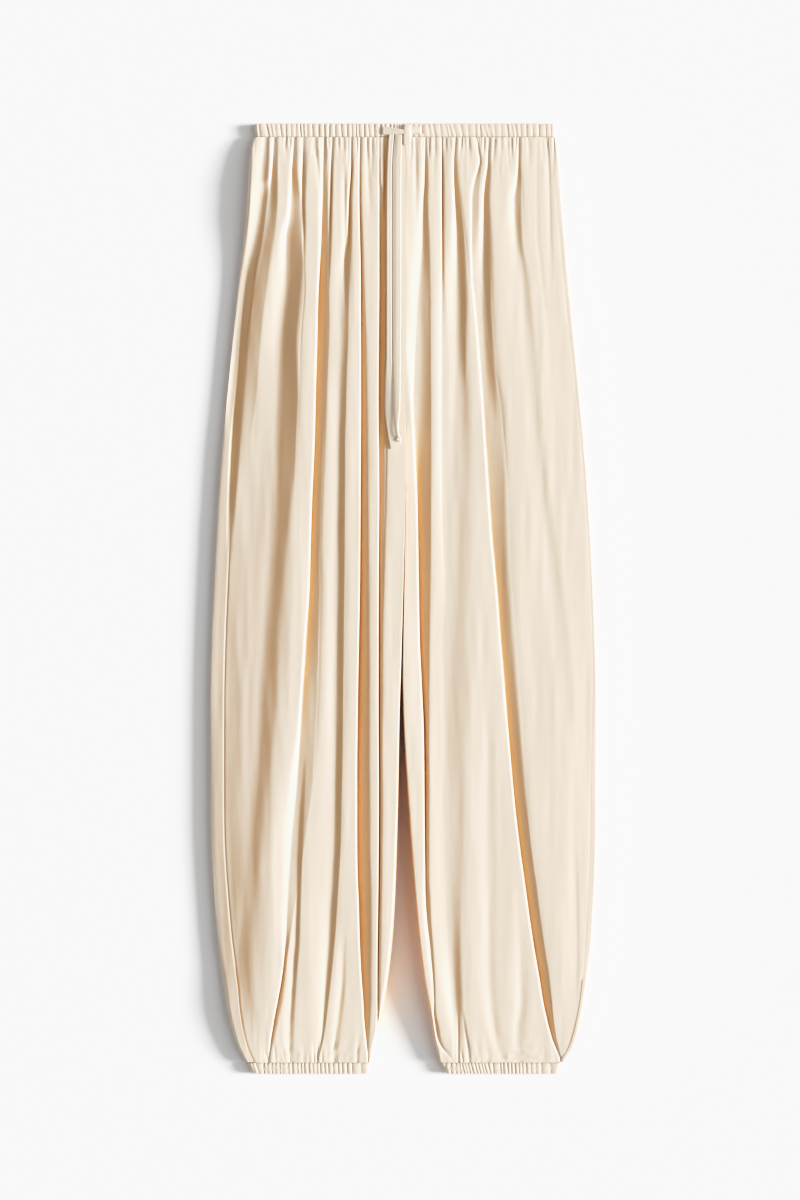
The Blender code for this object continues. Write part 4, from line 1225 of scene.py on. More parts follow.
    def light_to_paint(self, x: np.ndarray, z: np.ndarray, down: float, sizes: LegSizes) -> np.ndarray:
        """The share of the light that reaches some points across the leg, from 0 in a deep trough to 1,
        painted as shade.

        Args:
            x: Places across.
            z: Their heights.
            down: Distance down.
            sizes: The leg's sizes there.

        Returns:
            The share for each point.
        """
        low, high = sorted((sizes.outer_edge, sizes.inner_edge))
        places = np.arange(low, high, PROFILE_STEP)
        profile = self.height(places, down, sizes)
        gap = max(self.gap(sizes, down), 0.5)
        beyond = sizes.inner_edge + self.inward * (gap + np.array(OTHER_LEG))
        over = np.array([sizes.loft + (sizes.rim - sizes.loft) * sizes.split, sizes.loft, sizes.loft])
        if self.side is Side.LEFT:
            places, profile = np.concatenate([places, beyond]), np.concatenate([profile, over])
        else:
            places, profile = np.concatenate([beyond[::-1], places]), np.concatenate([over[::-1], profile])
        seen = np.zeros_like(x)
        horizon = {}
        for way in (-1, 1):
            steepest = np.zeros_like(x)
            for reach in HORIZON_REACHES:
                other = np.interp(x + way * reach, places, profile, left=0, right=0)
                steepest = np.maximum(steepest, (other - z) / reach)
            seen += 0.5 / np.sqrt(1 + (steepest / RELIEF) ** 2)
            horizon[way] = np.degrees(np.arctan(steepest))
        ahead = np.interp(x + 1, places, profile) - np.interp(x - 1, places, profile)
        facing = np.clip(1 - ahead / 2 / math.tan(math.radians(LIGHT_HEIGHT)), 0, 1)
        lit = facing * (1 - ramp((horizon[1] - LIGHT_HEIGHT + LIGHT_BLUR) / (2 * LIGHT_BLUR)))
        # On the side's roll the painted light is the side's fixed share; further in it is the direct and sky
        # light.
        start, width = ROLL_LIGHT
        edge = ramp(((x - sizes.outer_edge) * self.inward / sizes.outer_radius - start) / width)
        share = self.side_open * (1 - edge) + (LIT_SHARE * lit + SEEN_SHARE * seen) * edge
        # Painted light, lifted beside the gap between the legs.
        beside_gap = sizes.split * ramp(1.5 - np.abs(x - sizes.inner_edge) / GAP_EDGE_WIDTH)
        share = share + np.maximum(GAP_EDGE_PAINTED_LIGHT - share, 0) * beside_gap
        # Painted shade, deepened near the casings.
        near_casing = min(down - BAND, LENGTH - CUFF - down)
        at_casing, away = CASING_SHADE
        share = 1 - (1 - share) * (at_casing + away * float(ramp(near_casing / CASING_SHADE_REACH)))
        # Painted shadow of the tie's hanging end, beside its left edge.
        if self.tie_edge and down < self.tie_edge[-1][0]:
            beside = np.abs(x + TIE_SHADE_SHIFT - along(self.tie_edge, down))
            share = share * (0.5 + 0.5 * ramp((beside - 1.5) / 3))
        return share

    def front_grid(self) -> tuple[np.ndarray, np.ndarray]:
        """Points of the front panel's outer surface and the share of light painted on them as shade."""
        counts = self.column_counts()
        rows, shares = [], []
        for down in front_downs().tolist():
            sizes = self.sizes(down)
            x = self.front_places(sizes, down, counts)
            z = self.height(x, down, sizes)
            shares.append(self.light_to_paint(x, z, down, sizes))
            x[0] += self.inward * self.seam_gap
            if sizes.inset > 0:
                x[-1] -= self.inward * min(SEAM_HALF_GAP, sizes.inset / 2)
            rows.append(in_space(x, np.full_like(x, down), z))
        return odd_grid(np.array(rows)), odd_grid(np.array(shares))

    def back_grid(self) -> tuple[np.ndarray, np.ndarray]:
        """Points of the back panel's outer surface and the share of light painted on them as shade."""
        rows, shares = [], []
        outer_count, under_count, inner_count = 30, 10, 24
        floor_count = self.back_columns - outer_count - under_count - inner_count
        for down in front_downs()[::2].tolist():
            sizes = self.sizes(down)
            wrap = max(abs(sizes.seam - sizes.outer_edge) - self.seam_gap, 0)
            outer_path = np.linspace(roll_angle(wrap / sizes.outer_radius), 0, outer_count)
            x = sizes.outer_edge + self.inward * sizes.outer_radius * roll_distance(outer_path)
            z = self.height(x, down, sizes)
            turns = np.linspace(0, math.pi / 2, under_count + 1)[1:]
            under_x = sizes.outer_edge + self.inward * sizes.under_radius * (1 - np.cos(turns))
            under_z = sizes.rim * (1 - np.sin(turns))
            floor_end = sizes.inner_edge - self.inward * sizes.under_radius
            floor_x = np.linspace(under_x[-1], floor_end, floor_count + 1)[1:]
            inset = max(sizes.inset - SEAM_HALF_GAP, 0)
            end_angle = roll_angle(inset / sizes.inner_radius) if sizes.inset > 0 else 0.0
            path = np.linspace(0, math.pi / 2 + end_angle, inner_count + 1)[1:]
            low = np.minimum(path, math.pi / 2)
            high = np.maximum(path - math.pi / 2, 0)
            inner_x = np.where(
                path <= math.pi / 2,
                sizes.inner_edge - self.inward * sizes.under_radius * (1 - np.sin(low)),
                sizes.inner_edge - self.inward * sizes.inner_radius * roll_distance(high),
            )
            curved = sizes.split * sizes.rim * (1 - np.cos(low))
            inner_z = np.where(path <= math.pi / 2, curved, self.height(inner_x, down, sizes))
            all_x = np.concatenate([x, under_x, floor_x, inner_x])
            all_z = np.concatenate([z, under_z, self.underside(floor_x, down), inner_z])
            rows.append(in_space(all_x, np.full_like(all_x, down), all_z))
            share = np.ones_like(all_x)
            share[:outer_count] = self.light_to_paint(x, z, down, sizes)
            # The lower roll takes the side's painted light share.
            share[outer_count:outer_count + under_count] = self.side_open
            # The side in the gap gets painted shade, darkest at its foot while the gap is narrow.
            upper = ramp((inner_z / sizes.loft - INSIDE_SPAN[0]) / INSIDE_SPAN[1])
            widened = float(ramp((self.gap(sizes, down) - INSIDE_WIDTHS[0]) / INSIDE_WIDTHS[1]))
            closed = INSIDE_PAINTED_LIGHT[0] + INSIDE_PAINTED_LIGHT[1] * widened
            share[-inner_count:] = closed + (self.light_to_paint(inner_x, inner_z, down, sizes) - closed) * upper
            shares.append(share)
        return odd_grid(np.array(rows)), odd_grid(np.array(shares))

    def underside(self, x: np.ndarray, down: float) -> np.ndarray:
        """Height of the side that lies on the surface: flat, with shallow gathers and long hollows.

        Args:
            x: Places across.
            down: Distance down.

        Returns:
            The height at each place.
        """
        below = (down - BAND) / UNDER_REACH[0]
        above = (LENGTH - CUFF - down) / UNDER_REACH[1]
        near = math.exp(-(below ** 2)) + math.exp(-(above ** 2))
        pleats = np.maximum(0, self.ripple.at(x * 1.6, down * 0.4)) * UNDER_GATHERS * near
        hollows = np.maximum(0, self.swell.at(x * 1.5, down * 0.5) - 0.25) * UNDER_HOLLOWS
        first, last = (np.clip(np.abs(x - end) / UNDER_MARGIN, 0, 1) for end in (x[0], x[-1]))
        return (pleats + hollows) * (first * last)

    def build(self, finish: "ClothFinish") -> list[bpy.types.Object]:
        """Makes both panels.

        Args:
            finish: The cloth's finish.

        Returns:
            The front and the back.
        """
        pieces = []
        for layer in Layer:
            points, painted_light_share = self.front_grid() if layer is Layer.FRONT else self.back_grid()
            turn = -self.inward if layer is Layer.FRONT else self.inward
            shell = thin_shell(points, turn, CLOTH_WALL, painted_light_share)
            piece = shell.to_object(f"{layer.value}_{self.side.word}_cloth", finish.material())
            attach(piece, "root")
            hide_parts(f"{layer.value}_{self.side.word}")
            pieces.append(piece)
        return pieces


def odd_grid(grid: np.ndarray) -> np.ndarray:
    """A grid without its last inner row or column where their count is even."""
    if grid.shape[0] % 2 == 0:
        grid = np.delete(grid, -2, axis=0)
    if grid.shape[1] % 2 == 0:
        grid = np.delete(grid, -2, axis=1)
    return grid


@dataclass
class Casing:
    """A ruched casing, as a front and a back half that meet at its sides."""

    name: str
    top: float
    bottom: float
    left_top: float
    right_top: float
    left_bottom: float
    right_bottom: float
    pucker_xs: tuple[float, ...]
    slants: tuple[float, ...]
    seed: int
    height: float = 8.4
    swell: float = 1.1
    thickness: float = 2.6
    step: float = 0.5
    ring: int = 30
    end_count: int = 9
    squareness: tuple[float, float] = (5.0, 2.6)
    stretch: float = 1.35
    depth: tuple[float, float] = (0.5, 1.15)
    full_spacing: float = 4.5
    tight_depth: tuple[float, float] = (0.35, 0.65)
    pinch: float = 0.028
    end_depth: tuple[float, float] = (0.4, 0.6)
    # Share of light painted on the casing's cloth: in a pucker, and what is added between puckers.
    painted_light_range: tuple[float, float] = (0.72, 0.28)
    stitch_inset: float = 1.2
    slits: Points = ()
    slit_top: float = -6.4
    slit_depth: float = 1.6
    slit_half: float = 0.5
    slit_blur: float = 1.4
    fullness: Curve = 1.5
    deepest: float = 2.25

    @property
    def stitch_row(self) -> float:
        """Distance down of the stitches: beside the casing's edge that joins the legs."""
        return self.bottom - self.stitch_inset if self.top == 0 else self.top + self.stitch_inset

    def across(self, share: np.ndarray) -> tuple[np.ndarray, np.ndarray]:
        """Left and right end at shares of the way down the casing."""
        left = self.left_top + (self.left_bottom - self.left_top) * share
        right = self.right_top + (self.right_bottom - self.right_top) * share
        return left, right

    def grid(self, layer: Layer) -> tuple[np.ndarray, np.ndarray, np.ndarray]:
        """Points of one half, section by section from left to right.

        Args:
            layer: The front or the back half.

        Returns:
            Places across, down and up, how full each is between its puckers, and the places down the ring.
        """
        radius = self.height / 2
        tall = self.bottom - self.top
        turns = np.linspace(0, 2 * math.pi, self.ring, endpoint=False)
        half = tall / 2
        along_ring = half * squared(np.cos(turns), 2 / self.squareness[0])
        out = self.thickness / 2 * (squared(np.sin(turns), 2 / self.squareness[1]) - 1)
        share = np.clip((along_ring + half) / tall, 0, 1)
        left, right = self.across(share)
        count = int((self.right_top - self.left_top) / self.step)
        end_turns = np.linspace(0, math.pi / 2, self.end_count)[:-1]
        flat = np.linspace(0, 1, count)
        left_x = left[None, :] + radius * (1 - np.cos(end_turns))[:, None]
        flat_x = left[None, :] + radius + (right - left - 2 * radius)[None, :] * flat[:, None]
        right_x = right[None, :] - radius * (1 - np.cos(end_turns[::-1]))[:, None]
        x = np.concatenate([left_x, flat_x, right_x])
        angle = np.concatenate([math.pi - end_turns, np.full(count, math.pi / 2), end_turns[::-1]])
        end_lift = radius * np.sin(end_turns)
        lift = np.concatenate([end_lift, np.full(count, radius), end_lift[::-1]])
        facing = np.stack([np.cos(angle), np.sin(angle)], axis=1)
        bulge, groove = self.puckers(x, along_ring)
        outside = np.clip(np.sin(turns), 0, 1)[None, :] ** 0.5
        raised = self.swell if layer is Layer.FRONT else 0.0
        swell = raised * np.cos(np.clip(along_ring / half, -1, 1) * math.pi / 2)[None, :] * outside
        flat_share = np.clip(np.sin(angle), 0, 1)[:, None] ** 2
        drawn = groove * outside * (self.end_depth[0] + self.end_depth[1] * flat_share)
        level = out[None, :] + swell * flat_share - drawn
        down = self.top + half + along_ring[None, :] * (1 - self.pinch * groove)
        z = radius + lift[:, None] + facing[:, 1:2] * level
        x = x + facing[:, 0:1] * level
        z = z + SEAM_HALF_GAP * (1 - flat_share)
        if layer is Layer.BACK:
            z = self.height - z
        return np.stack([x, down, z], axis=-1), bulge, along_ring

    def puckers(self, x: np.ndarray, along_ring: np.ndarray) -> tuple[np.ndarray, np.ndarray]:
        """How full the ruched cloth is at each point, and how deep it is drawn in.

        Args:
            x: Places across, section by section.
            along_ring: Places down each section, from its middle.

        Returns:
            The fullness, from 0 in a pucker to 1, and the depth.
        """
        draw = np.random.default_rng(self.seed)
        lines = np.array(self.pucker_xs)
        slants = np.array(self.slants)
        depths = draw.uniform(self.depth[0], self.depth[1], len(lines))
        full = np.empty_like(x)
        groove = np.empty_like(x)
        cut = np.zeros_like(x)
        for j, place in enumerate(along_ring):
            at = np.maximum.accumulate(lines + slants * place)
            at = at + np.arange(len(at)) * 1e-4
            k = np.clip(np.searchsorted(at, x[:, j]) - 1, 0, len(at) - 2)
            t = np.clip((x[:, j] - at[k]) / (at[k + 1] - at[k]), 0, 1)
            full[:, j] = (4 * t * (1 - t)) ** 0.5
            depth = depths[k] * (1 - t) + depths[k + 1] * t
            wide = np.minimum(1, (at[k + 1] - at[k]) / self.full_spacing)
            groove[:, j] = depth * (1 - full[:, j]) * (self.tight_depth[0] + self.tight_depth[1] * wide)
            for slit, lowest in self.slits:
                below, above = (ramp(far / self.slit_blur) for far in (lowest - place, place - self.slit_top))
                beside = (x[:, j] - slit) / self.slit_half
                cut[:, j] += self.slit_depth * float(below * above) * np.exp(-(beside ** 2))
        return full, np.minimum(groove * along(self.fullness, x) + cut, self.deepest)

    def crown(self, down: float | np.ndarray) -> np.ndarray:
        """Height of the front half between its puckers."""
        share = np.clip((np.asarray(down) - self.top) / (self.bottom - self.top), 0, 1)
        return self.height + self.swell * np.sin(math.pi * share)

    def line(self, layer: Layer, down: float) -> np.ndarray:
        """A line across one half's outer face, for a row of stitches.

        Args:
            layer: The front or the back half.
            down: Distance down.

        Returns:
            Points in metres, from left to right.
        """
        places, _, along_ring = self.grid(layer)
        outer = self.ring // 2 + 1
        offset = down - (self.top + self.bottom) / 2
        k = int(np.clip(np.searchsorted(-along_ring[:outer], -offset), 1, outer - 1))
        share = (along_ring[k - 1] - offset) / (along_ring[k - 1] - along_ring[k])
        inside = places[self.end_count:-self.end_count]
        row = inside[:, k - 1] * (1 - share) + inside[:, k] * share
        return in_space(row[:, 0], row[:, 1], row[:, 2])

    def build(self, finish: "ClothFinish") -> list[bpy.types.Object]:
        """Makes both halves.

        Args:
            finish: The cloth's finish.

        Returns:
            The front and the back half.
        """
        pieces = []
        for layer in Layer:
            places, full, _ = self.grid(layer)
            sections, ring = places.shape[:2]
            index = np.arange(sections * ring).reshape(sections, ring)
            points = in_space(places[..., 0], places[..., 1], places[..., 2])
            surface = places[..., :2] * (self.stretch, 1)
            # Painted shade in the puckers: less light share where the cloth is drawn in.
            cloth = ClothMesh(
                points=points.reshape(-1, 3),
                faces=tube_faces(index),
                painted_light_share=(self.painted_light_range[0] + self.painted_light_range[1] * full).ravel(),
                surface=surface.reshape(-1, 2),
            )
            piece = cloth.to_object(f"{self.name}_{layer.value}_cloth", finish.material())
            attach(piece, "root")
            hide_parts(f"{self.name}_{layer.value}")
            pieces.append(piece)
        return pieces


@dataclass(frozen=True)
class Shade:
    """A colour of linear light."""

    red: float
    green: float
    blue: float

    @property
    def rgba(self) -> tuple[float, float, float, float]:
        """The colour as a shader takes it."""
        return (self.red, self.green, self.blue, 1.0)


def set_values(node: bpy.types.Node, values: Values) -> None:
    """Sets constant values of a node's inputs, by name or place."""
    for socket, value in values.items():
        node.inputs[socket].default_value = value


def add_node(
    tree: bpy.types.NodeTree, kind: str, values: Values | None = None, **options: Any
) -> bpy.types.Node:
    """Adds a node.

    Args:
        tree: The tree it goes into.
        kind: Its type.
        values: Constant values of its inputs, by name or place.
        options: Its own settings, such as an operation.

    Returns:
        The node.
    """
    node = tree.nodes.new(kind)
    for name, option in options.items():
        setattr(node, name, option)
    set_values(node, values or {})
    return node


def wire(tree: bpy.types.NodeTree, *joins: Join) -> None:
    """Links nodes. Each join is a node, its output, the next node and its input."""
    for start, output, end, entry in joins:
        tree.links.new(start.outputs[output], end.inputs[entry])


def start_group(name: str, kind: str, inputs: dict[str, str], outputs: dict[str, str]) -> Group:
    """Starts a node group.

    Args:
        name: The group's name.
        kind: "Shader" or "Geometry".
        inputs: Socket types by name.
        outputs: Socket types by name.

    Returns:
        The new group and its input and output nodes.
    """
    group = bpy.data.node_groups.new(name, f"{kind}NodeTree")
    for way, sockets in (("INPUT", inputs), ("OUTPUT", outputs)):
        for label, socket in sockets.items():
            group.interface.new_socket(label, in_out=way, socket_type=f"NodeSocket{socket}")
    return group, add_node(group, "NodeGroupInput"), add_node(group, "NodeGroupOutput")


def start_material(name: str, values: Values) -> tuple[bpy.types.Material, bpy.types.Node]:
    """A new material and its shader, with constant values set on the shader.

    Args:
        name: The material's name.
        values: Values of the shader's inputs, by name.

    Returns:
        The material and its Principled shader.
    """
    material = bpy.data.materials.new(name)
    material.use_nodes = True
    shader = material.node_tree.nodes["Principled BSDF"]
    set_values(shader, values)
    return material, shader


@dataclass(frozen=True)
class ClothFinish:
    """The cream cloth: a smooth fine weave, with painted shade, warmer and darker, in folds that little light
    reaches.
    """

    name: str
    face: Shade = Shade(0.80, 0.66, 0.52)
    # Painted shade colours, which the base colour takes in folds that little light reaches, and in the
    # darkest of them.
    fold: Shade = Shade(0.80, 0.48, 0.22)
    deep: Shade = Shade(0.82, 0.34, 0.08)
    roughness: float = 0.62
    sheen: float = 0.15
    sheen_roughness: float = 0.4
    specular: float = 0.2
    threads: float = 2600.0
    thread_height: float = 0.0002
    relief: float = 0.25

    def material(self) -> bpy.types.Material:
        """The finish's material, made once."""
        found = bpy.data.materials.get(self.name)
        if found is not None:
            return found
        material, shader = start_material(self.name, {
            "Roughness": self.roughness, "Sheen Weight": self.sheen, "Sheen Roughness": self.sheen_roughness,
            "Specular IOR Level": self.specular,
        })
        tree = material.node_tree
        painted_light_node = add_node(tree, "ShaderNodeAttribute", attribute_name="open")
        shades = {"Face": self.face.rgba, "Fold": self.fold.rgba, "Deep": self.deep.rgba}
        shade_paint = add_node(tree, "ShaderNodeGroup", shades, node_tree=painted_fold_shade_group())
        surface = add_node(tree, "ShaderNodeUVMap", uv_map="cloth")
        weave = add_node(tree, "ShaderNodeGroup", {"Threads": self.threads}, node_tree=fine_weave_group())
        bump = add_node(tree, "ShaderNodeBump", {"Strength": self.relief, "Distance": self.thread_height})
        wire(
            tree,
            (painted_light_node, "Fac", shade_paint, "Open"),
            (surface, "UV", weave, "Surface"),
            (weave, "Mottle", shade_paint, "Mottle"),
            (shade_paint, "Color", shader, "Base Color"),
            (weave, "Height", bump, "Height"),
            (bump, "Normal", shader, "Normal"),
        )
        return material


def painted_fold_shade_group() -> bpy.types.NodeTree:
    """A group that paints shade: the face colour where light reaches, warmer, darker ones in closed folds;
    made once.
    """
    if "painted_fold_shade" in bpy.data.node_groups:
        return bpy.data.node_groups["painted_fold_shade"]
    inputs = {"Open": "Float", "Mottle": "Float", "Face": "Color", "Fold": "Color", "Deep": "Color"}
    group, given, made = start_group("painted_fold_shade", "Shader", inputs, {"Color": "Color"})
    # Painted shade: the lower the light share, the nearer the colour goes to the fold shade, then to the deep
    # shade.
    closed = add_node(group, "ShaderNodeMapRange", {"From Min": 0.9, "From Max": 0.36})
    deeper = add_node(group, "ShaderNodeMath", {1: 1.7}, operation="POWER")
    fold = add_node(group, "ShaderNodeMix", data_type="RGBA")
    shut = add_node(group, "ShaderNodeMapRange", {"From Min": 0.38, "From Max": 0.0})
    deepest = add_node(group, "ShaderNodeMix", data_type="RGBA")
    mottled = add_node(group, "ShaderNodeMix", {"Factor": 1.0}, data_type="RGBA", blend_type="MULTIPLY")
    wire(
        group,
        (given, "Open", closed, "Value"),
        (closed, "Result", deeper, 0),
        (deeper, "Value", fold, "Factor"),
        (given, "Face", fold, "A"),
        (given, "Fold", fold, "B"),
        (given, "Open", shut, "Value"),
        (shut, "Result", deepest, "Factor"),
        (fold, "Result", deepest, "A"),
        (given, "Deep", deepest, "B"),
        (deepest, "Result", mottled, "A"),
        (given, "Mottle", mottled, "B"),
        (mottled, "Result", made, "Color"),
    )
    return group


def fine_weave_group() -> bpy.types.NodeTree:
    """A group with the relief of fine threads and slubs, and a faint mottle, made once."""
    if "fine_weave" in bpy.data.node_groups:
        return bpy.data.node_groups["fine_weave"]
    inputs, outputs = {"Surface": "Vector", "Threads": "Float"}, {"Height": "Float", "Mottle": "Float"}
    group, given, made = start_group("fine_weave", "Shader", inputs, outputs)
    threads = add_node(group, "ShaderNodeMath", operation="MAXIMUM")
    for place, direction in enumerate("XY"):
        wave = add_node(
            group, "ShaderNodeTexWave", {"Distortion": 0.6}, wave_type="BANDS", bands_direction=direction
        )
        wire(
            group,
            (given, "Surface", wave, "Vector"),
            (given, "Threads", wave, "Scale"),
            (wave, "Fac", threads, place),
        )
    stretch = add_node(group, "ShaderNodeMapping", {"Scale": (1.0, 0.12, 1.0)})
    slub = add_node(group, "ShaderNodeTexNoise", {"Scale": 700.0, "Detail": 3.0})
    height = add_node(group, "ShaderNodeMath", {1: 1.6}, operation="MULTIPLY_ADD")
    cloud = add_node(group, "ShaderNodeTexNoise", {"Scale": 220.0, "Detail": 5.0})
    spread = {"From Min": 0.3, "From Max": 0.7, "To Min": 0.965, "To Max": 1.0}
    mottle = add_node(group, "ShaderNodeMapRange", spread)
    wire(
        group,
        (given, "Surface", stretch, "Vector"),
        (stretch, "Vector", slub, "Vector"),
        (slub, "Fac", height, 0),
        (threads, "Value", height, 2),
        (height, "Value", made, "Height"),
        (stretch, "Vector", cloud, "Vector"),
        (cloud, "Fac", mottle, "Value"),
        (mottle, "Result", made, "Mottle"),
    )
    return group


@dataclass(frozen=True)
class ThreadFinish:
    """Sewing thread with its twist."""

    name: str
    face: Shade
    roughness: float = 0.5
    sheen: float = 0.2
    twists: float = 900.0
    twist_height: float = 0.0001
    relief: float = 0.5

    def material(self) -> bpy.types.Material:
        """The finish's material."""
        values = {"Base Color": self.face.rgba, "Roughness": self.roughness, "Sheen Weight": self.sheen}
        material, shader = start_material(self.name, values)
        tree = material.node_tree
        place = add_node(tree, "ShaderNodeTexCoord")
        twist = add_node(tree, "ShaderNodeTexWave", {"Scale": self.twists}, bands_direction="DIAGONAL")
        bump = add_node(tree, "ShaderNodeBump", {"Strength": self.relief, "Distance": self.twist_height})
        wire(
            tree,
            (place, "Object", twist, "Vector"),
            (twist, "Fac", bump, "Height"),
            (bump, "Normal", shader, "Normal"),
        )
        return material


@dataclass(frozen=True)
class Stitching:
    """Rows of stitches that a node tree lays along lines."""

    name: str
    spacing: float = 2.9
    length: float = 2.1
    thickness: float = 0.34
    seed: int = 4
    shortest: float = 0.88
    longest: float = 1.1

    def tree(self) -> bpy.types.NodeTree:
        """The node tree: a small rounded stitch at each step along the lines."""
        inputs = {
            "Lines": "Geometry", "Spacing": "Float", "Length": "Float", "Thickness": "Float", "Seed": "Int",
            "Thread": "Material",
        }
        tree, given, made = start_group(f"{self.name}_tree", "Geometry", inputs, {"Stitches": "Geometry"})
        curve = add_node(tree, "GeometryNodeMeshToCurve")
        steps = add_node(tree, "GeometryNodeCurveToPoints", mode="LENGTH")
        turn = add_node(tree, "FunctionNodeAlignRotationToVector", axis="Z")
        uneven = add_node(
            tree, "FunctionNodeRandomValue", {2: self.shortest, 3: self.longest}, data_type="FLOAT"
        )
        longer = add_node(tree, "ShaderNodeMath", operation="MULTIPLY")
        size = add_node(tree, "ShaderNodeCombineXYZ")
        stitch = add_node(tree, "GeometryNodeMeshUVSphere", {"Segments": 8, "Rings": 6, "Radius": 0.5})
        rows = add_node(tree, "GeometryNodeInstanceOnPoints")
        real = add_node(tree, "GeometryNodeRealizeInstances")
        dressed = add_node(tree, "GeometryNodeSetMaterial")
        wire(
            tree,
            (given, "Lines", curve, "Mesh"),
            (curve, "Curve", steps, "Curve"),
            (given, "Spacing", steps, "Length"),
            (steps, "Tangent", turn, "Vector"),
            (given, "Seed", uneven, "Seed"),
            (given, "Length", longer, 0),
            (uneven, 1, longer, 1),
            (given, "Thickness", size, "X"),
            (given, "Thickness", size, "Y"),
            (longer, "Value", size, "Z"),
            (steps, "Points", rows, "Points"),
            (stitch, "Mesh", rows, "Instance"),
            (turn, "Rotation", rows, "Rotation"),
            (size, "Vector", rows, "Scale"),
            (rows, "Instances", real, "Geometry"),
            (real, "Geometry", dressed, "Geometry"),
            (given, "Thread", dressed, "Material"),
            (dressed, "Geometry", made, "Stitches"),
        )
        return tree

    def build(self, lines: list[np.ndarray], finish: ThreadFinish, slot: str) -> bpy.types.Object:
        """Sews along some lines.

        Args:
            lines: Each line's points in metres.
            finish: The thread.
            slot: The material slot of the cloth it holds. Not used.

        Returns:
            One piece with all the stitches.
        """
        edges = []
        start = 0
        for line in lines:
            edges += [(start + k, start + k + 1) for k in range(len(line) - 1)]
            start += len(line)
        mesh = bpy.data.meshes.new(f"{self.name}_lines")
        mesh.from_pydata(np.concatenate(lines).tolist(), edges, [])
        piece = link_object(self.name, mesh)
        tree = self.tree()
        modifier = piece.modifiers.new("stitches", "NODES")
        modifier.node_group = tree
        values = {
            "Spacing": self.spacing * MM, "Length": self.length * MM, "Thickness": self.thickness * MM,
            "Seed": self.seed, "Thread": finish.material(),
        }
        for item in tree.interface.items_tree:
            if item.item_type == "SOCKET" and item.in_out == "INPUT" and item.name in values:
                modifier[item.identifier] = values[item.name]
        graph = bpy.context.evaluated_depsgraph_get()
        sewn = bpy.data.meshes.new_from_object(piece.evaluated_get(graph))
        piece.modifiers.remove(modifier)
        piece.data = sewn
        sewn.shade_smooth()
        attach(piece, "root")
        return piece


@dataclass(frozen=True)
class TieEnd:
    """One hanging end of the tie: its edges going down, how far it lifts, and how its end is cut."""

    name: str
    node: str
    rows: tuple[tuple[float, float, float, float], ...]
    slant: float
    far_end: str
    width: float
    tilt: float = 0.0

    def column(self, index: int) -> Points:
        """One column of the rows, as pairs with the distance down."""
        return tuple((row[0], row[index]) for row in self.rows)


TIE_ENDS = (
    TieEnd(
        "left",
        "tie_tail_left",
        rows=(
            (12.0, -16.9, -11.4, 0), (19.5, -17.5, -11.9, 0), (40, -18.6, -13.4, 0), (60, -19.2, -13.9, 0),
            (160, -19.4, -13.9, 0), (250, -19.6, -13.4, 0), (285, -21.0, -12.2, 0), (310, -21.4, -11.0, 0),
            (330, -19.2, -8.0, 0), (343, -16.6, -4.8, 0), (350, -15.2, -3.8, 0),
        ),
        slant=3.2,
        far_end="bare",
        width=0.0074,
    ),
    TieEnd(
        "right",
        "tie_tail_right",
        rows=(
            (12.0, -10.6, -2.6, 0), (19.5, -11.3, -2.8, 0), (40, -12.9, -3.3, 0), (60, -13.3, -3.6, 0),
            (160, -13.4, -3.8, 0), (250, -12.8, -4.1, 0.2), (290, -11.9, -4.4, 1.2), (312, -11.4, -5.2, 1.6),
            (330, -10.8, -6.6, 1.7), (340, -9.0, -5.6, 1.8),
        ),
        tilt=0.9,
        slant=0.0,
        far_end="knot",
        width=0.0072,
    ),
)

# The folds of the knot: where each one starts and ends, across and down.
KNOT_FOLDS = (
    (-2.4, 3.0, 0.6, 5.4), (-2.4, 5.6, 0.4, 7.4), (-2.4, 9.4, 0.0, 9.8), (8.0, 4.6, 6.2, 6.2),
    (8.0, 10.6, 6.4, 10.2),
)


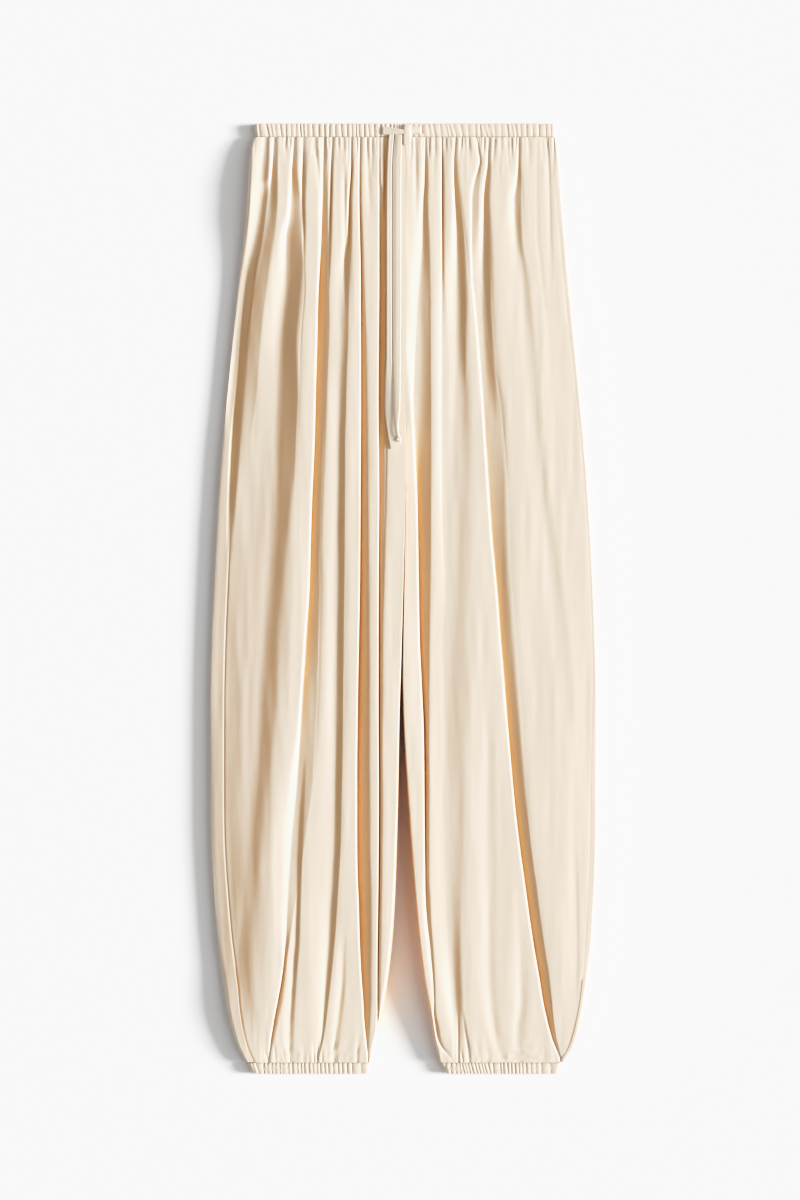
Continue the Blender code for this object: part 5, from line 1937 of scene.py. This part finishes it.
@dataclass
class Tie:
    """The self-fabric tie: two strips over the waistband, the knot and two hanging ends."""

    leg: Leg
    band: Casing
    thickness: float = 1.1
    squareness: tuple[float, float] = (4.2, 2.4)
    welt: float = 0.16
    clearance: float = 0.3
    around: int = 28
    knot_middle: tuple[float, float] = (2.8, 12.3)
    knot_half: tuple[float, float] = (4.4, 11.5)
    knot_base: float = 9.2
    knot_height: float = 3.2
    fold_depth: float = 0.6
    fold_half: float = 0.6
    slit_depth: float = 2.3
    slit_reach: float = 1.3
    strip_lift: float = 1.7
    strip_reach: float = 24
    end_middle: tuple[float, float, float] = (-6.2, 342.2, 2.3)
    end_size: tuple[float, float, float] = (0.66, 0.98, 0.5)
    end_half: tuple[float, float] = (0.85, 0.5)
    cut_reach: float = 22
    # Share of light painted on the tie's cloth, a little under full, which adds slight painted shade.
    painted_light_share: float = 0.95

    def ground(self, x: np.ndarray, down: float) -> np.ndarray:
        """Height of what the tie lies on.

        Args:
            x: Places across.
            down: Distance down.

        Returns:
            The height under each place, taken from the highest cloth around it.
        """
        wide = np.arange(x.min() - 3, x.max() + 3.1, 0.5)
        levels = []
        for offset in (-3.0, 0.0, 3.0):
            at = down + offset
            if at > BAND:
                levels.append(self.leg.height(wide, at, self.leg.sizes(at)))
            else:
                levels.append(np.full_like(wide, float(self.band.crown(at)) - 0.4))
        top = np.max(levels, axis=0)
        window = np.lib.stride_tricks.sliding_window_view
        highest = window(np.pad(top, 3, mode="edge"), 7).max(axis=-1)
        even = window(np.pad(highest, 3, mode="edge"), 7).mean(axis=-1)
        return np.interp(x, wide, even)

    def section(self, half: float) -> tuple[np.ndarray, np.ndarray]:
        """A ribbon's section: places across from its middle, and up from its underside.

        Args:
            half: Half its width.

        Returns:
            Both, round the section.
        """
        turns = np.linspace(0, 2 * math.pi, self.around, endpoint=False)
        across = half * squared(np.cos(turns), 2 / self.squareness[0])
        up = self.thickness / 2 * (1 + squared(np.sin(turns), 2 / self.squareness[1]))
        edge = np.abs(across) - half
        welt = np.exp(-(((edge + 0.9) / 0.45) ** 2)) - 0.5 * np.exp(-(((edge + 1.7) / 0.4) ** 2))
        return across, up + self.welt * welt * (np.sin(turns) > 0)

    def hanging(self, end: TieEnd) -> tuple[np.ndarray, np.ndarray]:
        """The loops of a hanging end and the line along its middle, in millimetres.

        Args:
            end: The end.

        Returns:
            The loops and the line.
        """
        first, last = end.rows[0][0], end.rows[-1][0]
        loops, middle = [], []
        for down in np.linspace(first, last, 175).tolist():
            left, right, lift = (read(end.column(i), down) for i in (1, 2, 3))
            half = (right - left) / 2
            across, up = self.section(half)
            x = (left + right) / 2 + across
            low = ramp(-across / half)
            z = self.ground(x, down) + self.clearance + lift + end.tilt * (1 - low) + up
            late = float(ramp((down - last + self.cut_reach) / self.cut_reach))
            loops.append(np.stack([x, down - end.slant * late * across / half, z], axis=-1))
            middle.append((float(x.mean()), down, float(z.mean())))
        return np.array(loops), np.array(middle)

    def crossing(self, edges: tuple[tuple[float, float, float], ...], outer: float) -> np.ndarray:
        """The loops of a strip over the waistband, which goes into a slit at its outer end.

        Args:
            edges: Rows of a place across and the distances down of both edges.
            outer: The place across of its slit.

        Returns:
            Loops of points in millimetres.
        """
        places = np.linspace(edges[0][0], edges[-1][0], 46)
        inner = places[-1] if outer < 0 else places[0]
        loops = []
        for place in places:
            upper, lower = (read(tuple((row[0], row[i]) for row in edges), place) for i in (1, 2))
            across, up = self.section((lower - upper) / 2)
            down = (upper + lower) / 2 - across
            sunk = self.slit_depth * (1 - float(ramp(abs(place - outer) / self.slit_reach)))
            raised = self.strip_lift * float(ramp(1 - abs(place - inner) / self.strip_reach)) * (outer < 0)
            z = self.band.crown(down) + self.clearance - sunk + raised + up
            loops.append(np.stack([np.full_like(down, place), down, z], axis=-1))
        return np.array(loops)

    def knot(self) -> np.ndarray:
        """The loops of the knot: a soft pillow with the folds of the cloth drawn into it."""
        steps = np.sin(np.linspace(-math.pi / 2, math.pi / 2, 50))[1:-1]
        turns = np.linspace(0, 2 * math.pi, 52, endpoint=False)
        loops = []
        for step in steps:
            full = 1 - abs(step) ** 3.2
            x = self.knot_middle[0] + self.knot_half[0] * full ** 0.28 * squared(np.cos(turns), 0.6)
            down = np.full_like(x, self.knot_middle[1] + self.knot_half[1] * step)
            rise = squared(np.sin(turns), 0.86)
            base = np.maximum(self.knot_base, self.ground(x, float(down[0])) + 0.15)
            z = base + self.knot_height * full ** 0.5 / 2 * (1 + rise) * (1 - max(0.0, step)) ** 0.7
            for x0, down0, x1, down1 in KNOT_FOLDS:
                run = (x1 - x0) ** 2 + (down1 - down0) ** 2
                t = np.clip(((x - x0) * (x1 - x0) + (down - down0) * (down1 - down0)) / run, 0, 1)
                apart = np.hypot(x - x0 - t * (x1 - x0), down - down0 - t * (down1 - down0))
                deep = self.fold_depth * (1 - 0.8 * t) * np.exp(-((apart / self.fold_half) ** 2))
                z = z - deep * (rise > 0) * rise
            loops.append(np.stack([x, down, z], axis=-1))
        return np.array(loops)

    def end_knot(self) -> np.ndarray:
        """The loops of the small overhand knot at the right end."""
        t = np.linspace(0, 2 * math.pi, 90, endpoint=False)
        base = float(self.ground(np.array([-9.0, -3.0]), 343.0).max())
        (x, down, lift), (across, tall, deep) = self.end_middle, self.end_size
        line = np.stack([
            x + across * (np.sin(t) + 2 * np.sin(2 * t)),
            down + tall * (np.cos(t) - 2 * np.cos(2 * t)),
            base + lift - deep * np.sin(3 * t),
        ], axis=-1)
        ahead = np.roll(line, -1, axis=0) - np.roll(line, 1, axis=0)
        ahead /= np.linalg.norm(ahead, axis=1, keepdims=True)
        side = np.cross(ahead, np.array([0.0, 0.0, 1.0]))
        side /= np.linalg.norm(side, axis=1, keepdims=True)
        above = np.cross(side, ahead)
        turns = np.linspace(0, 2 * math.pi, 12, endpoint=False)
        wide, thick = self.end_half
        turned = wide * np.cos(turns)[None, :, None] * side[:, None]
        return line[:, None] + turned + thick * np.sin(turns)[None, :, None] * above[:, None]

    def piece(
        self, name: str, loops: np.ndarray, finish: ClothFinish, ring: bool = False
    ) -> bpy.types.Object:
        """Makes one piece from its loops.

        Args:
            name: The piece's name.
            loops: Loops by points by three: across, down and up in millimetres.
            finish: The tie's finish.
            ring: True where the last loop meets the first.

        Returns:
            The piece.
        """
        count, around = loops.shape[:2]
        index = np.arange(count * around).reshape(count, around)
        if ring:
            wrapped = np.concatenate([index, index[:1]])
            faces = grid_faces(np.concatenate([wrapped, wrapped[:, :1]], axis=1))
        else:
            faces = tube_faces(index)
        steps = np.linalg.norm(np.diff(loops[:, 0], axis=0), axis=-1)
        far = np.concatenate([[0.0], np.cumsum(steps)])
        round_steps = np.linalg.norm(np.diff(loops[count // 2], axis=0), axis=-1)
        round_loop = np.concatenate([[0.0], np.cumsum(round_steps)])
        surface = np.stack(np.meshgrid(round_loop, far), axis=-1)
        cloth = ClothMesh(
            points=in_space(loops[..., 0], loops[..., 1], loops[..., 2]).reshape(-1, 3),
            faces=faces,
            painted_light_share=np.full(count * around, self.painted_light_share),
            surface=surface.reshape(-1, 2),
        )
        piece = cloth.to_object(name, finish.material())
        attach(piece, "root")
        return piece

    def build(self, finish: ClothFinish) -> list[bpy.types.Object]:
        """Makes the strips, the knot and the hanging ends.

        Args:
            finish: The tie's finish.

        Returns:
            The pieces.
        """
        strips = (
            ("left", ((-24.6, 3.5, 12.0), (-18, 3.8, 12.0), (-10, 5.2, 11.9), (-1.2, 6.8, 11.4)), -24.6),
            ("right", ((6.8, 3.6, 11.2), (12, 3.5, 11.2), (18.4, 3.0, 11.8)), 18.4),
        )
        pieces = []
        for word, edges, outer in strips:
            strip = self.piece(f"tie_strip_{word}_cloth", self.crossing(edges, outer), finish)
            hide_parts(f"tie_strip_{word}")
            pieces.append(strip)
        knot = self.piece("tie_knot_cloth", self.knot(), finish)
        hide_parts("tie_knot")
        end_knot = self.piece("tie_end_knot_cloth", self.end_knot(), finish, ring=True)
        pieces += [knot, end_knot]
        for end in TIE_ENDS:
            loops, middle = self.hanging(end)
            tail = self.piece(f"tie_tail_{end.name}_cloth", loops, finish)
            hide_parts(end.node)
            pieces.append(tail)
        return pieces


@dataclass
class Studio:
    """A pale surface, soft light from the right, the left and above, and the camera over the garment."""

    floor_tone: float = 0.92
    key_share: float = 0.60
    fill_share: float = 0.10
    top_share: float = 0.21
    white: float = 1.25
    brightest: float = 2.4
    tones: Points = ((0.3, 0.3), (0.6, 0.59), (0.8, 0.74), (1.0, 0.845), (1.25, 0.943), (1.6, 0.952))
    key_elevation: float = LIGHT_HEIGHT
    key_spread: float = 15.0
    fill_elevation: float = 35.0
    fill_spread: float = 50.0
    top_tilt: float = 45.0
    top_spread: float = 52.0
    floor_half: float = 4.0
    floor_level: float = -0.0004
    lens: float = 135.0
    sensor: float = 36.0
    farthest: float = 50.0
    view_height: float = 4.881
    centre_x: float = -0.00487
    centre_y: float = -0.00135

    def irradiance(self) -> float:
        """The light that brings the floor to its level in the picture."""
        return math.pi * self.white / self.floor_tone

    def build(self) -> None:
        """Makes the surface, the lights and the camera."""
        scene = bpy.context.scene
        self.set_tones(scene.view_settings)
        self.make_floor()
        key = self.irradiance() * self.key_share / math.sin(math.radians(self.key_elevation))
        self.make_sun("key", key, 90 - self.key_elevation, self.key_spread)
        fill = self.irradiance() * self.fill_share / math.sin(math.radians(self.fill_elevation))
        self.make_sun("fill", fill, self.fill_elevation - 90, self.fill_spread)
        top = self.irradiance() * self.top_share / math.cos(math.radians(self.top_tilt))
        self.make_sun("top", top, self.top_tilt, self.top_spread)
        world = bpy.data.worlds.new("studio")
        world.use_nodes = True
        rest = self.irradiance() * (1 - self.key_share - self.fill_share - self.top_share) / math.pi
        background = world.node_tree.nodes["Background"]
        set_values(background, {"Color": (1.0, 1.0, 1.0, 1.0), "Strength": rest})
        scene.world = world
        self.make_camera()

    def set_tones(self, view: bpy.types.ColorManagedViewSettings) -> None:
        """Gives the picture a photograph's soft shoulder, so that bright cloth doesn't burn out.

        Args:
            view: The scene's view settings.
        """
        view.view_transform = "Standard"
        view.use_curve_mapping = True
        mapping = view.curve_mapping
        mapping.white_level = (self.brightest, self.brightest, self.brightest)
        curve = mapping.curves[3]
        for light, tone in self.tones:
            curve.points.new(light / self.brightest, tone)
        mapping.update()

    def make_floor(self) -> None:
        """A plain pale floor under the garment."""
        half, tone = self.floor_half, self.floor_tone
        mesh = bpy.data.meshes.new("floor")
        corners = [(-half, -half, 0), (half, -half, 0), (half, half, 0), (-half, half, 0)]
        mesh.from_pydata(corners, [], [(0, 1, 2, 3)])
        values = {"Base Color": (tone, tone, tone, 1.0), "Roughness": 1.0, "Specular IOR Level": 0.0}
        material, _ = start_material("pale_floor", values)
        mesh.materials.append(material)
        floor = link_object("floor", mesh)
        floor.location.z = self.floor_level

    def make_sun(self, name: str, strength: float, tilt: float, spread: float) -> None:
        """One soft light, as from a large lamp far away.

        Args:
            name: The light's name.
            strength: Light on a surface that faces it.
            tilt: Degrees from straight above, towards the right, or towards the left below zero.
            spread: Its angular size in degrees.
        """
        light = bpy.data.lights.new(name, "SUN")
        light.energy = strength
        light.angle = math.radians(spread)
        link_object(name, light).rotation_euler = (0.0, math.radians(tilt), 0.0)

    def make_camera(self) -> None:
        """The camera, straight above the garment."""
        data = bpy.data.cameras.new("camera")
        data.lens = self.lens
        data.sensor_width = self.sensor
        data.clip_end = self.farthest
        camera = link_object("camera", data)
        camera.location = (self.centre_x, self.centre_y, self.view_height)
        bpy.context.scene.camera = camera


def note(pieces: list[bpy.types.Object]) -> None:
    """Reports finished pieces."""
    for piece in pieces:
        logging.info("%s: %d faces", piece.name, len(piece.data.polygons))


# Short pleats above the cuffs: place, length and depth.
LEFT_CUFF_GATHERS = (
    (-147.7, 14, 1.6), (-139, 22, 1.8), (-134.7, 15, 1.4), (-130.4, 20, 1.8), (-123.3, 26, 2.0),
    (-117.4, 16, 1.8), (-114.1, 12, 1.4), (-108.7, 20, 1.8), (-103.3, 14, 1.5), (-97.9, 24, 1.8),
    (-94.1, 26, 2.8), (-89.3, 15, 1.6), (-83.9, 20, 1.6), (-75.7, 30, 2.8), (-72, 16, 1.8),
    (-67.6, 20, 1.8), (-62.2, 26, 1.8), (-59, 14, 1.4), (-51.4, 32, 2.2), (-39.5, 16, 1.4),
)
RIGHT_CUFF_GATHERS = (
    (63.3, 16, 1.6), (75.2, 15, 1.6), (80.6, 24, 2.0), (83.9, 14, 1.5), (89.3, 18, 2.0), (93.6, 26, 2.2),
    (100.1, 20, 1.8), (106.6, 32, 2.8), (112.9, 16, 1.5), (117.4, 24, 1.9), (123.9, 14, 1.5),
    (126.1, 22, 1.6), (132.5, 26, 1.8), (138, 15, 1.4), (143.4, 22, 1.6), (148.8, 16, 1.3),
)
# Where the casings' cloth is drawn in, across, and how far each of the waistband's lines leans.
WAIST_PUCKERS = (
    -163, -157.4, -148, -144.2, -140, -134, -128.6, -123, -117.6, -112.6, -109.6, -105.4, -99.8, -93, -86.8,
    -81.6, -75, -68.4, -62, -57, -52.4, -49.8, -43.6, -39, -33, -26.4, -21.6, -16.4, -11.8, -7.2, -2, 3.4,
    9, 14.8, 20.4, 26.6, 31.8, 39, 45.6, 49.4, 54, 61.8, 69, 76.8, 82, 87.4, 91.6, 97.6, 104.6, 111.6,
    116.4, 120.6, 125.6, 132, 138.8, 145.4, 153, 158.4, 164,
)
WAIST_SLANTS = (
    0, 0.1, 0.2, 0.22, 0.05, 0.16, 0.02, 0.05, -0.05, 0.1, 0.05, 0, 0.04, 0, 0.05, -0.05, 0, 0.08, 0, 0.04,
    0, 0.03, 0, 0.1, 0.05, 0, 0, 0, 0, 0, 0, 0, 0, 0, 0, 0.15, 0.2, 0.08, 0.22, 0.25, 0.3, 0.22, 0.05, 0.04,
    0.02, 0.3, 0.34, 0.1, 0.03, 0.12, 0.15, 0.15, 0.05, 0, 0.04, 0, 0.05, 0.02, 0,
)
LEFT_CUFF_PUCKERS = (
    -170, -166, -163.4, -159.6, -152, -148.6, -143.4, -140.2, -134.8, -132.4, -126, -121.6, -116.2, -112,
    -108.8, -103.6, -99.4, -94.8, -91.4, -86.6, -82.6, -77.4, -72, -67.6, -62.2, -56.8, -47, -37,
)
RIGHT_CUFF_PUCKERS = (
    39, 44.6, 50.4, 55.8, 60, 63.4, 66.6, 69.8, 73, 77.4, 80.6, 84.8, 87.2, 91.4, 95.8, 104.4, 106.8, 111.8,
    115.4, 119.6, 123.8, 127.4, 131.6, 136.8, 142.2, 148, 158, 170.5,
)


def main() -> None:
    logging.basicConfig(level=logging.INFO, format="%(message)s")
    Studio().build()
    cloth = ClothFinish("cream_cloth")
    casing_cloth = ClothFinish("ruched_cloth", relief=0.3)
    tie_cloth = ClothFinish("ribbon_cloth", face=Shade(0.81, 0.68, 0.54))
    thread = ThreadFinish("cream_thread", face=Shade(0.82, 0.70, 0.57))
    legs = (
        Leg(
            Side.LEFT,
            LEFT_CREASES,
            LEFT_WAIST_GATHERS,
            LEFT_CUFF_GATHERS,
            seed=11,
            rim_share=((14, 0.44), (191, 0.33), (353, 0.3), (600, 0.31), (860, 0.36), (1016, 0.44)),
            outer_roll=0.22,
            side_open=0.84,
            tie_edge=((14, -17.9), (300, -22), (325, -20.4), (340, -18.5), (352, -15.7)),
        ),
        Leg(
            Side.RIGHT,
            RIGHT_CREASES,
            RIGHT_WAIST_GATHERS,
            RIGHT_CUFF_GATHERS,
            seed=23,
            outer_roll=0.15,
            side_open=0.66,
            inner_fold=0.45,
            seam_gap=0.02,
            seam_depth=0.1,
            small_depth=(0.4, 1.0),
        ),
    )
    for leg in legs:
        note(leg.build(cloth))
    casings = (
        Casing(
            "waistband", 0, BAND, -163, 164, -161.5, 164.5, WAIST_PUCKERS, WAIST_SLANTS, seed=5,
            stitch_inset=1.3,
            slits=((-25.2, 4.6), (-15.2, -2.4), (-11.8, -2.4), (-8.6, -2), (-5.6, -1.6), (19.0, 4.6)),
            fullness=((-160, 1.4), (-20, 1.4), (20, 0.9), (160, 0.9)),
        ),
        Casing(
            "cuff_left", LENGTH - CUFF, LENGTH, -170, -37, -164.5, -37, LEFT_CUFF_PUCKERS,
            tuple(0.3 if x < -155 else 0.04 for x in LEFT_CUFF_PUCKERS), seed=6,
        ),
        Casing(
            "cuff_right", LENGTH - CUFF, LENGTH, 39, 170.5, 45, 167, RIGHT_CUFF_PUCKERS,
            tuple(0.25 if 60 < x < 95 else 0.06 for x in RIGHT_CUFF_PUCKERS), seed=7,
        ),
    )
    for casing in casings:
        note(casing.build(casing_cloth))
        lines = [casing.line(layer, casing.stitch_row) for layer in Layer]
        note([Stitching(f"{casing.name}_stitches").build(lines, thread, "casing")])
    note(Tie(legs[0], casings[0]).build(tie_cloth))


if __name__ == "__main__":
    main()
